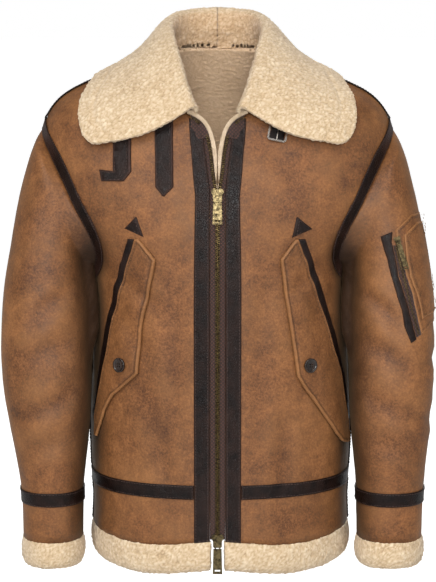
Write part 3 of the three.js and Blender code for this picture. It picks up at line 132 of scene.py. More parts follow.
def move_points(piece: bpy.types.Object, points: np.ndarray) -> None:
    """Puts a mesh's points where the rows say."""
    piece.data.vertices.foreach_set("co", points.astype(np.float32).ravel())
    piece.data.update()


def paint(piece: bpy.types.Object, name: str, values: np.ndarray) -> None:
    """Stores one number for each point, for a material to read."""
    layer = piece.data.attributes.get(name) or piece.data.attributes.new(name, "FLOAT", "POINT")
    layer.data.foreach_set("value", np.asarray(values, np.float32))


def shade_smooth(piece: bpy.types.Object) -> None:
    """Turns smooth shading on for every face."""
    piece.data.polygons.foreach_set("use_smooth", [True] * len(piece.data.polygons))


def copy_node(node: str, name: str) -> bpy.types.Object:
    """Copies a CAD node into a new object whose loose triangles are merged.

    Args:
        node: The CAD node.
        name: The new piece's name.

    Returns:
        The merged copy, with no material.
    """
    source = bmesh.new()
    source.from_mesh(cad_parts[node].data)
    bmesh.ops.remove_doubles(source, verts=source.verts, dist=2e-5)
    mesh = bpy.data.meshes.new(name)
    source.to_mesh(mesh)
    source.free()
    mesh.materials.clear()
    piece = bpy.data.objects.new(name, mesh)
    bpy.context.scene.collection.objects.link(piece)
    return piece


def subdivided(node: str, name: str, level: int, sharp: float = 48.0) -> bpy.types.Object:
    """Copies a CAD node as quads with creased edges and smooths it by subdivision.

    Args:
        node: The CAD node.
        name: The new piece's name.
        level: Levels of subdivision.
        sharp: Angle in degrees above which an edge stays sharp.

    Returns:
        The smooth piece.
    """
    piece = copy_node(node, name)
    work = bmesh.new()
    work.from_mesh(piece.data)
    bmesh.ops.join_triangles(
        work, faces=work.faces[:], angle_face_threshold=math.radians(28), angle_shape_threshold=math.radians(60)
    )
    crease = work.edges.layers.float.get("crease_edge") or work.edges.layers.float.new("crease_edge")
    for edge in work.edges:
        if edge.calc_face_angle(0.0) > math.radians(sharp):
            edge[crease] = 1.0
    work.to_mesh(piece.data)
    work.free()
    modifier = piece.modifiers.new("smooth", "SUBSURF")
    modifier.levels = modifier.render_levels = level
    finish_modifiers(piece)
    shade_smooth(piece)
    return piece


def fractal(points: np.ndarray, scale: float, octaves: int = 3, seed: float = 0.0) -> np.ndarray:
    """Gives soft noise at each point.

    Args:
        points: Rows of metres.
        scale: Size of the noise's features in metres.
        octaves: How many finer layers it has.
        seed: Shifts the noise.

    Returns:
        One number a point, about -1 to 1.
    """
    shift = Vector((seed, seed * 1.7, seed * 0.6))
    return np.array([noise.fractal(Vector(p) / scale + shift, 0.9, 2.1, octaves) for p in points])


def bvh_of(pieces: Iterable[bpy.types.Object]) -> BVHTree:
    """Builds one search tree of the pieces' faces."""
    verts: list[Vector] = []
    faces: list[tuple[int, ...]] = []
    for piece in pieces:
        first = len(verts)
        verts.extend(v.co.copy() for v in piece.data.vertices)
        faces.extend(tuple(first + i for i in p.vertices) for p in piece.data.polygons)
    return BVHTree.FromPolygons(verts, faces)


def joined(parts: Sequence[Mesh3]) -> Mesh3:
    """Joins several meshes into one set of points and faces."""
    points: list[np.ndarray] = []
    faces: list[tuple[int, ...]] = []
    first = 0
    for verts, polys in parts:
        points.append(verts)
        faces.extend(tuple(first + i for i in poly) for poly in polys)
        first += len(verts)
    return np.concatenate(points), faces


def shut(upper: np.ndarray, lower: np.ndarray, faces: list[tuple[int, ...]]) -> Mesh3:
    """Joins a top side and an underside by their rims into one closed mesh."""
    count = len(upper)
    sides = {(a, b) for f in faces for a, b in zip(f, f[1:] + f[:1])}
    walls = [(b, a, a + count, b + count) for a, b in sides if (b, a) not in sides]
    under = [tuple(count + i for i in reversed(f)) for f in faces]
    return np.concatenate([upper, lower]), faces + under + walls


def rims(upper: Sequence[bmesh.types.BMFace]) -> list[list[bmesh.types.BMLoop]]:
    """Gives the runs of edges round a patch of faces, each as its loops in order."""
    patch = set(upper)
    ahead = {
        loop.vert: loop
        for f in upper
        for loop in f.loops
        if all(other is f or other not in patch for other in loop.edge.link_faces)
    }
    runs = []
    while ahead:
        now, run = next(iter(ahead)), []
        while now in ahead:
            run.append(ahead.pop(now))
            now = run[-1].link_loop_next.vert
        runs.append(run)
    return runs


# ---------------------------------------------------------------- finishes


def linear(code: str) -> tuple[float, float, float, float]:
    """Turns an sRGB hex colour into Blender's linear values.

    Args:
        code: Six hex digits.

    Returns:
        Linear red, green, blue and 1.
    """
    parts = [int(code[i : i + 2], 16) / 255 for i in (0, 2, 4)]
    red, green, blue = (c / 12.92 if c <= 0.04045 else ((c + 0.055) / 1.055) ** 2.4 for c in parts)
    return red, green, blue, 1.0


class NodeDesk:
    """A material's node tree, with one method that adds a node."""

    def __init__(self, name: str) -> None:
        """Starts a material with only its output and main shader."""
        self.material = bpy.data.materials.new(name)
        self.material.use_nodes = True
        self.tree = self.material.node_tree
        self.tree.nodes.clear()
        self.output = self.tree.nodes.new("ShaderNodeOutputMaterial")

    def add(self, kind: str, links: dict | None = None, **settings: object) -> bpy.types.Node:
        """Adds a node.

        Args:
            kind: The node's type.
            links: Input name or number to a socket that feeds it, or to a plain value.
            **settings: Properties of the node.

        Returns:
            The new node.
        """
        made = self.tree.nodes.new(kind)
        for key, value in settings.items():
            setattr(made, key, value)
        for key, value in (links or {}).items():
            socket = made.inputs[key]
            if isinstance(value, bpy.types.NodeSocket):
                self.tree.links.new(value, socket)
            else:
                socket.default_value = value
        return made

    def place(self, size: tuple[float, float, float] = (1, 1, 1)) -> bpy.types.NodeSocket:
        """Gives Object coordinates, stretched by size."""
        coordinates = self.add("ShaderNodeTexCoord")
        mapping = self.add("ShaderNodeMapping", {"Vector": coordinates.outputs["Object"], "Scale": size})
        return mapping.outputs["Vector"]

    def ramp(self, factor: bpy.types.NodeSocket, stops: Sequence[tuple[float, str]]) -> bpy.types.NodeSocket:
        """Colours a number by a row of stops.

        Args:
            factor: The number's socket.
            stops: Place and hex colour of each stop.

        Returns:
            The colour socket.
        """
        made = self.add("ShaderNodeValToRGB", {"Fac": factor})
        band = made.color_ramp.elements
        while len(band) < len(stops):
            band.new(0.5)
        for element, (place, code) in zip(band, stops):
            element.position = place
            element.color = linear(code)
        return made.outputs["Color"]

    def finish(self, surface: bpy.types.Node) -> bpy.types.Material:
        """Links the shader to the output and gives the material."""
        self.tree.links.new(surface.outputs[0], self.output.inputs["Surface"])
        return self.material


@dataclass(frozen=True)
class WaxedSuede:
    """Waxed suede side of a sheepskin: brown, mottled by handling, with a fine pebble and a low waxy sheen."""

    name: str = "waxed_shearling_suede"
    pale: str = "8E5C34"
    middle: str = "6B4222"
    deep: str = "432612"
    edge: str = "9A6A3E"
    # Colour of the painted shade in fold troughs, stitched grooves and where sleeve and body touch
    shadow: str = "140A05"
    pebble_mm: float = 1.5  # the real pebble is about 0.6 mm, drawn coarser so that it shows

    def build(self) -> bpy.types.Material:
        """Mixes large, middle and fine mottles, rubbed wear and painted shade, then adds the pebble as relief."""
        desk = NodeDesk(self.name)
        at = desk.place()
        broad = desk.add("ShaderNodeTexNoise", {"Vector": at, "Scale": 9.0, "Detail": 5.0, "Roughness": 0.62})
        mottle = desk.add("ShaderNodeTexNoise", {"Vector": at, "Scale": 55.0, "Detail": 6.0, "Roughness": 0.68})
        grit = desk.add("ShaderNodeTexNoise", {"Vector": at, "Scale": 330.0, "Detail": 4.0, "Roughness": 0.7})
        mixed = desk.add(
            "ShaderNodeMix",
            {0: 0.52, 2: broad.outputs["Fac"], 3: mottle.outputs["Fac"]},
            data_type="FLOAT",
        )
        grainy = desk.add("ShaderNodeMix", {0: 0.42, 2: mixed.outputs[0], 3: grit.outputs["Fac"]}, data_type="FLOAT")
        base = desk.ramp(
            grainy.outputs[0], [(0.37, self.deep), (0.49, self.middle), (0.61, self.pale)]
        )
        wear = desk.add("ShaderNodeAttribute", attribute_name="wear")
        worn = desk.add(
            "ShaderNodeMix",
            {0: wear.outputs["Fac"], 6: base, 7: linear(self.edge)},
            data_type="RGBA",
        )
        # Painted shade: a point attribute darkens the colour towards the shadow colour
        painted_shade = desk.add("ShaderNodeAttribute", attribute_name="painted_shade")
        dark = desk.add(
            "ShaderNodeMix",
            {0: painted_shade.outputs["Fac"], 6: worn.outputs[2], 7: linear(self.shadow)},
            data_type="RGBA",
        )
        pebble = desk.add(
            "ShaderNodeTexVoronoi", {"Vector": at, "Scale": 1 / (self.pebble_mm * MM)}, feature="SMOOTH_F1"
        )
        creases = desk.add("ShaderNodeTexNoise", {"Vector": at, "Scale": 260.0, "Detail": 4.0, "Roughness": 0.65})
        relief = desk.add(
            "ShaderNodeMix", {0: 0.55, 2: pebble.outputs["Distance"], 3: creases.outputs["Fac"]}, data_type="FLOAT"
        )
        bump = desk.add("ShaderNodeBump", {"Height": relief.outputs[0], "Strength": 0.42, "Distance": 0.0009})
        gloss = desk.add(
            "ShaderNodeMapRange",
            {"Value": mottle.outputs["Fac"], "From Min": 0.3, "From Max": 0.7, "To Min": 0.5, "To Max": 0.66},
        )
        shader = desk.add(
            "ShaderNodeBsdfPrincipled",
            {
                "Base Color": dark.outputs[2],
                "Roughness": gloss.outputs[0],
                "Specular IOR Level": 0.36,
                "Sheen Weight": 0.1,
                "Sheen Roughness": 0.5,
                "Sheen Tint": linear("D9B183"),
                "Normal": bump.outputs[0],
            },
        )
        return desk.finish(shader)


@dataclass(frozen=True)
class TrimLeather:
    """Drum-dyed smooth nappa trim: nearly black brown, a soft gloss and fine wrinkles."""

    name: str = "dark_nappa_leather"
    pale: str = "1D110D"
    deep: str = "0D0706"
    edge: str = "4A3128"
    wrinkle_mm: float = 3.4

    def build(self) -> bpy.types.Material:
        """Lays fine wrinkles and pores over a nearly even dye, paler where it is rubbed."""
        desk = NodeDesk(self.name)
        at = desk.place()
        cloud = desk.add("ShaderNodeTexNoise", {"Vector": at, "Scale": 70.0, "Detail": 5.0, "Roughness": 0.6})
        warp = desk.add("ShaderNodeTexNoise", {"Vector": at, "Scale": 120.0, "Detail": 3.0})
        pushed = desk.add(
            "ShaderNodeMix", {0: 0.012, 4: at, 5: warp.outputs["Color"]}, data_type="VECTOR"
        )
        wrinkles = desk.add(
            "ShaderNodeTexVoronoi",
            {"Vector": pushed.outputs[1], "Scale": 1 / (self.wrinkle_mm * MM)},
            feature="DISTANCE_TO_EDGE",
        )
        valley = desk.add(
            "ShaderNodeMapRange",
            {"Value": wrinkles.outputs["Distance"], "From Min": 0.0, "From Max": 0.16, "To Min": 0.0, "To Max": 1.0},
        )
        base = desk.ramp(cloud.outputs["Fac"], [(0.36, self.deep), (0.66, self.pale)])
        wear = desk.add("ShaderNodeAttribute", attribute_name="wear")
        worn = desk.add(
            "ShaderNodeMix", {0: wear.outputs["Fac"], 6: base, 7: linear(self.edge)}, data_type="RGBA"
        )
        swell = desk.add("ShaderNodeTexNoise", {"Vector": at, "Scale": 110.0, "Detail": 4.0, "Roughness": 0.6})
        relief = desk.add(
            "ShaderNodeMix", {0: 0.6, 2: valley.outputs[0], 3: swell.outputs["Fac"]}, data_type="FLOAT"
        )
        bump = desk.add("ShaderNodeBump", {"Height": relief.outputs[0], "Strength": 0.5, "Distance": 0.0011})
        gloss = desk.add(
            "ShaderNodeMapRange",
            {"Value": cloud.outputs["Fac"], "From Min": 0.3, "From Max": 0.7, "To Min": 0.3, "To Max": 0.44},
        )
        shader = desk.add(
            "ShaderNodeBsdfPrincipled",
            {
                "Base Color": worn.outputs[2],
                "Roughness": gloss.outputs[0],
                "Specular IOR Level": 0.17,
                "Normal": bump.outputs[0],
            },
        )
        return desk.finish(shader)


@dataclass(frozen=True)
class CurlyWool:
    """Sheared wool side of a sheepskin: cream curls, with painted shade deeper and warmer between the tufts."""

    name: str = "sheared_wool"
    tip: str = "E6D2B4"
    middle: str = "C9AD88"
    root_shade: str = "7E5C3A"
    # Tint of the painted warm shade on wool that faces inwards
    inner_shade: str = "F7E6DA"
    curl_mm: float = 1.6  # single curls are about 1 mm, drawn coarser so that they show

    def build(self) -> bpy.types.Material:
        """Colours tufts by their height, painting shade low between them, and adds fine curls as relief."""
        desk = NodeDesk(self.name)
        at = desk.place()
        tuft = desk.add("ShaderNodeAttribute", attribute_name="tuft")
        curl = desk.add(
            "ShaderNodeTexNoise",
            {"Vector": at, "Scale": 1 / (self.curl_mm * MM), "Detail": 3.0, "Roughness": 0.65, "Distortion": 1.4},
        )
        cloud = desk.add("ShaderNodeTexNoise", {"Vector": at, "Scale": 28.0, "Detail": 3.0})
        level = desk.add(
            "ShaderNodeMix", {0: 0.38, 2: tuft.outputs["Fac"], 3: curl.outputs["Fac"]}, data_type="FLOAT"
        )
        clouded = desk.add("ShaderNodeMix", {0: 0.14, 2: level.outputs[0], 3: cloud.outputs["Fac"]}, data_type="FLOAT")
        base = desk.ramp(clouded.outputs[0], [(0.1, self.root_shade), (0.36, self.middle), (0.66, self.tip)])
        # Painted warm shade on the inward-facing wool
        inner = desk.add("ShaderNodeAttribute", attribute_name="inner_shade")
        warm_shaded = desk.add(
            "ShaderNodeMix",
            {0: inner.outputs["Fac"], 6: base, 7: linear(self.inner_shade)},
            data_type="RGBA",
            blend_type="MULTIPLY",
        )
        bump = desk.add("ShaderNodeBump", {"Height": curl.outputs["Fac"], "Strength": 0.75, "Distance": 0.0016})
        shader = desk.add(
            "ShaderNodeBsdfPrincipled",
            {
                "Base Color": warm_shaded.outputs[2],
                "Roughness": 0.95,
                "Specular IOR Level": 0.15,
                "Sheen Weight": 0.25,
                "Sheen Roughness": 0.6,
                "Normal": bump.outputs[0],
            },
        )
        return desk.finish(shader)


@dataclass(frozen=True)
class Metal:
    """A small cast or pressed fitting, with tarnish in patches and fine scratches."""

    name: str
    bright: str
    tarnish: str
    roughness: float
    patch_mm: float = 2.5

    def build(self) -> bpy.types.Material:
        """Mixes bright and tarnished patches, rougher where they are dull."""
        desk = NodeDesk(self.name)
        at = desk.place()
        patch = desk.add(
            "ShaderNodeTexNoise", {"Vector": at, "Scale": 1 / (self.patch_mm * MM), "Detail": 5.0, "Roughness": 0.65}
        )
        base = desk.ramp(patch.outputs["Fac"], [(0.36, self.tarnish), (0.6, self.bright)])
        gloss = desk.add(
            "ShaderNodeMapRange",
            {
                "Value": patch.outputs["Fac"],
                "From Min": 0.35,
                "From Max": 0.65,
                "To Min": self.roughness + 0.16,
                "To Max": self.roughness,
            },
        )
        bump = desk.add("ShaderNodeBump", {"Height": patch.outputs["Fac"], "Strength": 0.2, "Distance": 0.0002})
        shader = desk.add(
            "ShaderNodeBsdfPrincipled",
            {"Base Color": base, "Metallic": 1.0, "Roughness": gloss.outputs[0], "Normal": bump.outputs[0]},
        )
        return desk.finish(shader)


@dataclass(frozen=True)
class Webbing:
    """Woven polyester zip tape: a fine herringbone in a reddish brown."""

    name: str = "woven_zip_tape"
    pale: str = "4A2A1F"
    deep: str = "25130C"
    thread_mm: float = 1.3  # real threads are about 0.4 mm, drawn coarser so that they show

    def build(self) -> bpy.types.Material:
        """Crosses two bands of threads and uses them for colour and relief."""
        desk = NodeDesk(self.name)
        scale = 1 / (self.thread_mm * MM) / 6.283
        across = desk.add(
            "ShaderNodeTexWave", {"Vector": desk.place((1, 0, 1)), "Scale": scale, "Distortion": 0.6},
            bands_direction="DIAGONAL",
        )
        along = desk.add(
            "ShaderNodeTexWave", {"Vector": desk.place((1, 0, -1)), "Scale": scale, "Distortion": 0.6},
            bands_direction="DIAGONAL",
        )
        weave = desk.add(
            "ShaderNodeMath", {0: across.outputs["Fac"], 1: along.outputs["Fac"]}, operation="MULTIPLY"
        )
        base = desk.ramp(weave.outputs[0], [(0.05, self.deep), (0.6, self.pale)])
        bump = desk.add("ShaderNodeBump", {"Height": weave.outputs[0], "Strength": 0.5, "Distance": 0.0004})
        shader = desk.add(
            "ShaderNodeBsdfPrincipled",
            {"Base Color": base, "Roughness": 0.82, "Sheen Weight": 0.2, "Normal": bump.outputs[0]},
        )
        return desk.finish(shader)


@dataclass(frozen=True)
class Horn:
    """Polished dark horn of a button: nearly black, streaked, with a clear gloss."""

    name: str = "polished_dark_horn"

    def build(self) -> bpy.types.Material:
        """Streaks the horn along one direction."""
        desk = NodeDesk(self.name)
        streak = desk.add(
            "ShaderNodeTexNoise", {"Vector": desk.place((1, 1, 0.25)), "Scale": 420.0, "Detail": 4.0}
        )
        base = desk.ramp(streak.outputs["Fac"], [(0.4, "120C0A"), (0.72, "3A2A20")])
        shader = desk.add("ShaderNodeBsdfPrincipled", {"Base Color": base, "Roughness": 0.24, "Coat Weight": 0.3})
        return desk.finish(shader)


@dataclass(frozen=True)
class Thread:
    """Bonded polyester sewing thread, matt and twisted."""

    name: str
    colour: str
    shadow: str

    def build(self) -> bpy.types.Material:
        """Shades the twist along the thread."""
        desk = NodeDesk(self.name)
        twist = desk.add("ShaderNodeTexNoise", {"Vector": desk.place(), "Scale": 900.0, "Detail": 2.0})
        base = desk.ramp(twist.outputs["Fac"], [(0.35, self.shadow), (0.6, self.colour)])
        shader = desk.add("ShaderNodeBsdfPrincipled", {"Base Color": base, "Roughness": 0.7})
        return desk.finish(shader)


class Slot(Enum):
    """The record's material slots."""

    SUEDE = "suede"
    LEATHER = "dark_leather"
    WOOL = "fleece"
    WEBBING = "webbing"
    BRASS = "old_brass"
    STEEL = "steel"
    DARK_STEEL = "dark_steel"
    HORN = "horn"


class Wardrobe:
    """All the finishes of the jacket, each made once."""

    def __init__(self) -> None:
        """Builds the materials."""
        self.finish: dict[Slot, bpy.types.Material] = {
            Slot.SUEDE: WaxedSuede().build(),
            Slot.LEATHER: TrimLeather().build(),
            Slot.WOOL: CurlyWool().build(),
            Slot.WEBBING: Webbing().build(),
            Slot.BRASS: Metal("antique_brass", "756749", "2E271C", 0.32, 5.0).build(),
            Slot.STEEL: Metal("nickel_plated_steel", "CFC8BF", "6E665E", 0.2).build(),
            Slot.DARK_STEEL: Metal("blackened_steel", "6A605A", "1F1A18", 0.32).build(),
            Slot.HORN: Horn().build(),
        }
        self.teeth = Metal("worn_brass_teeth", "5E5032", "271F14", 0.34, 3.0).build()
        self.facing = TrimLeather("pale_facing_leather", "C8B298", "B09A7E", "D2C0A8").build()
        self.leather_thread = Thread("dark_sewing_thread", "4A342C", "1E1412").build()
        self.suede_thread = Thread("brown_sewing_thread", "8A5E32", "3E2510").build()

    def dress(self, piece: bpy.types.Object, slot: Slot, material: bpy.types.Material | None = None) -> None:
        """Gives a new piece its material, taken from its slot unless one is given, and its body."""
        piece.data.materials.append(material or self.finish[slot])
        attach(piece, JACKET)


# ---------------------------------------------------------------- the jacket's tubes, unrolled


@dataclass
class Tube:
    """The body or a sleeve as a tube round an upright centre line, so that a place on it is (turned length, height)."""

    heights: np.ndarray
    centre: np.ndarray
    half: np.ndarray
    turns: np.ndarray = field(init=False)
    lengths: np.ndarray = field(init=False)

    def __post_init__(self) -> None:
        """Measures the length round the mean section at each angle."""
        wide, deep = self.half.mean(0)
        self.turns = np.linspace(-math.pi, math.pi, 1441)
        radius = 1 / np.sqrt((np.sin(self.turns) / wide) ** 2 + (np.cos(self.turns) / deep) ** 2)
        steps = np.diff(self.turns) * (radius[1:] + radius[:-1]) / 2
        self.lengths = np.concatenate([[0.0], np.cumsum(steps)])
        self.lengths -= np.interp(0.0, self.turns, self.lengths)

    @classmethod
    def round_nodes(cls, nodes: Sequence[str], low: float, high: float, rows: int, axis: bool) -> Tube:
        """Measures a tube from CAD nodes.

        Args:
            nodes: The nodes that go round it.
            low: Lowest height.
            high: Highest height.
            rows: How many heights are measured.
            axis: True if its centre line is the jacket's own axis.

        Returns:
            The tube.
        """
        points = np.concatenate([points_of(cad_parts[n]) for n in nodes])
        heights = np.linspace(low, high, rows)
        centre, half = [], []
        for height in heights:
            near = points[np.abs(points[:, 2] - height) < 0.03]
            least, most = near.min(0), near.max(0)
            centre.append(((least + most) / 2)[:2] if not axis else np.zeros(2))
            half.append(((most - least) / 2)[:2])
        return cls(heights, np.array(centre), np.array(half))

    def centre_at(self, z: np.ndarray) -> np.ndarray:
        """Gives the centre line's x and y at each height."""
        return np.stack([np.interp(z, self.heights, self.centre[:, i]) for i in (0, 1)], -1)

    def unroll(self, points: np.ndarray) -> np.ndarray:
        """Turns points into turned length and height."""
        flat = points[:, :2] - self.centre_at(points[:, 2])
        turn = np.arctan2(flat[:, 0], -flat[:, 1])
        return np.stack([np.interp(turn, self.turns, self.lengths), points[:, 2]], -1)

    def outward(self, places: np.ndarray) -> np.ndarray:
        """Gives the level outward direction at unrolled places."""
        turn = np.interp(places[:, 0], self.lengths, self.turns)
        return np.stack([np.sin(turn), -np.cos(turn), np.zeros(len(turn))], -1)

    def outward_of(self, points: np.ndarray) -> np.ndarray:
        """Gives the level outward direction at points."""
        flat = points[:, :2] - self.centre_at(points[:, 2])
        flat = flat / np.maximum(np.linalg.norm(flat, axis=1, keepdims=True), 1e-6)
        return np.concatenate([flat, np.zeros((len(flat), 1))], 1)

    def bow_of(self, points: np.ndarray) -> np.ndarray:
        """Gives the direction in which cloth swells, square to the tube's section."""
        flat = points[:, :2] - self.centre_at(points[:, 2])
        half = np.stack([np.interp(points[:, 2], self.heights, self.half[:, i]) for i in (0, 1)], -1)
        flat = flat / half**2
        flat = flat / np.maximum(np.linalg.norm(flat, axis=1, keepdims=True), 1e-9)
        return np.concatenate([flat, np.zeros((len(flat), 1))], 1)


# ---------------------------------------------------------------- folds


class View(Enum):
    """The side that a fold is placed on: its axes across and its outward direction."""

    FRONT = (0, 1, -1)
    BACK = (0, 1, 1)
    LEFT = (1, 0, 1)
    RIGHT = (1, 0, -1)


@dataclass(frozen=True)
class Fold:
    """One soft trough, or a ridge if its depth is below zero, in millimetres as seen from its side."""

    view: View
    start: Point
    end: Point
    width: float
    depth: float
    bow: float = 0.0

    def height(self, points_mm: np.ndarray, facing: np.ndarray) -> np.ndarray:
        """Gives how far this fold lifts each point.

        Args:
            points_mm: Points in millimetres.
            facing: The level outward direction at each point.

        Returns:
            Millimetres outwards.
        """
        across, outward_axis, sign = self.view.value
        place = np.stack([points_mm[:, across], points_mm[:, 2]], -1)
        start, end = np.array(self.start), np.array(self.end)
        span = end - start
        length = float(np.hypot(*span))
        along = ((place - start) @ span) / length**2
        side = (place - start) @ np.array([-span[1], span[0]]) / length
        side = side - self.bow * 4 * np.clip(along, 0, 1) * (1 - np.clip(along, 0, 1))
        q = side / self.width
        shape = -np.exp(-(q**2)) + 0.42 * (np.exp(-((q - 1.7) ** 2)) + np.exp(-((q + 1.7) ** 2)))
        fade = smoothstep(-0.22, 0.25, along) * smoothstep(1.22, 0.75, along)
        face = smoothstep(0.05, 0.6, facing[:, outward_axis] * sign)
        return self.depth * shape * fade * face


@dataclass
class Cloth:
    """How the shearling lies: placed folds, a soft unevenness, and quiet ground under what is sewn or pressed on."""

    body: Tube
    sleeves: dict[str, Tube]
    body_folds: tuple[Fold, ...]
    sleeve_folds: dict[str, tuple[Fold, ...]]
    quiet_spots_mm: tuple[tuple[float, float, float, float], ...]
    seam_nodes: tuple[str, ...] = (
        "armhole_tape_left",
        "armhole_tape_right",
        "shoulder_tape_left",
        "shoulder_tape_right",
    )
    seams: KDTree = field(init=False)

    def __post_init__(self) -> None:
        """Gathers the seam tapes' points into a search tree."""
        points = np.concatenate([points_of(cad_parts[n]) for n in self.seam_nodes])
        self.seams = KDTree(len(points))
        for number, point in enumerate(points):
            self.seams.insert(point, number)
        self.seams.balance()

    def calm(self, points: np.ndarray, on_body: bool) -> np.ndarray:
        """Gives how freely each point may move, from 0 to 1."""
        near = np.array([self.seams.find(p)[2] for p in points])
        free = smoothstep(0.003, 0.045, near)
        for x, y, z, radius in self.quiet_spots_mm:
            reach = np.linalg.norm(points - np.array([x, y, z]) * MM, axis=1)
            free = free * smoothstep(radius * 0.5 * MM, radius * 1.6 * MM, reach)
        if on_body:
            beside_zip = (points[:, 1] < 0) & (np.abs(points[:, 0]) < 0.1)
            free = free * np.where(beside_zip, smoothstep(0.02, 0.07, np.abs(points[:, 0])), 1.0)
            free = free * smoothstep(-0.055, -0.13, points[:, 2])
        return free

    def lay(self, piece: bpy.types.Object, sleeve: str | None) -> None:
        """Moves a piece's points with the folds, marks where it is rubbed and paints shade into the fold troughs.

        Args:
            piece: The piece, in place.
            sleeve: Its sleeve's name, or None on the body.
        """
        points = points_of(piece)
        tube = self.sleeves[sleeve] if sleeve else self.body
        facing = tube.outward_of(points)
        lift = np.zeros(len(points))
        for fold in self.sleeve_folds[sleeve] if sleeve else self.body_folds:
            lift += fold.height(points / MM, facing)
        lift += 1.5 * fractal(points * np.array([1, 1, 0.55]), 0.085, 2, 3.1)
        lift += 0.35 * fractal(points, 0.022, 2, 9.4)
        lift *= self.calm(points, sleeve is None)
        move_points(piece, points + tube.bow_of(points) * (lift * MM)[:, None])
        paint(piece, "wear", np.clip(0.12 + lift * 0.07 + 0.25 * fractal(points, 0.05, 3, 5.5), 0, 0.55))
        # Painted shade in the troughs of the folds
        paint(piece, "painted_shade", np.clip(-lift * 0.05, 0, 0.3))


# ---------------------------------------------------------------- cloth sizes


@dataclass(frozen=True)
class Cut:
    """A piece as it is cut, flat: its width and length in millimetres and the share of that rectangle it fills."""

    width: float
    length: float
    share: float = 0.9

    def declare(self, piece: bpy.types.Object, held: str, rests_on: Sequence[str]) -> None:
        """Takes the piece's cut size but does nothing with it."""


# ---------------------------------------------------------------- shearling panels


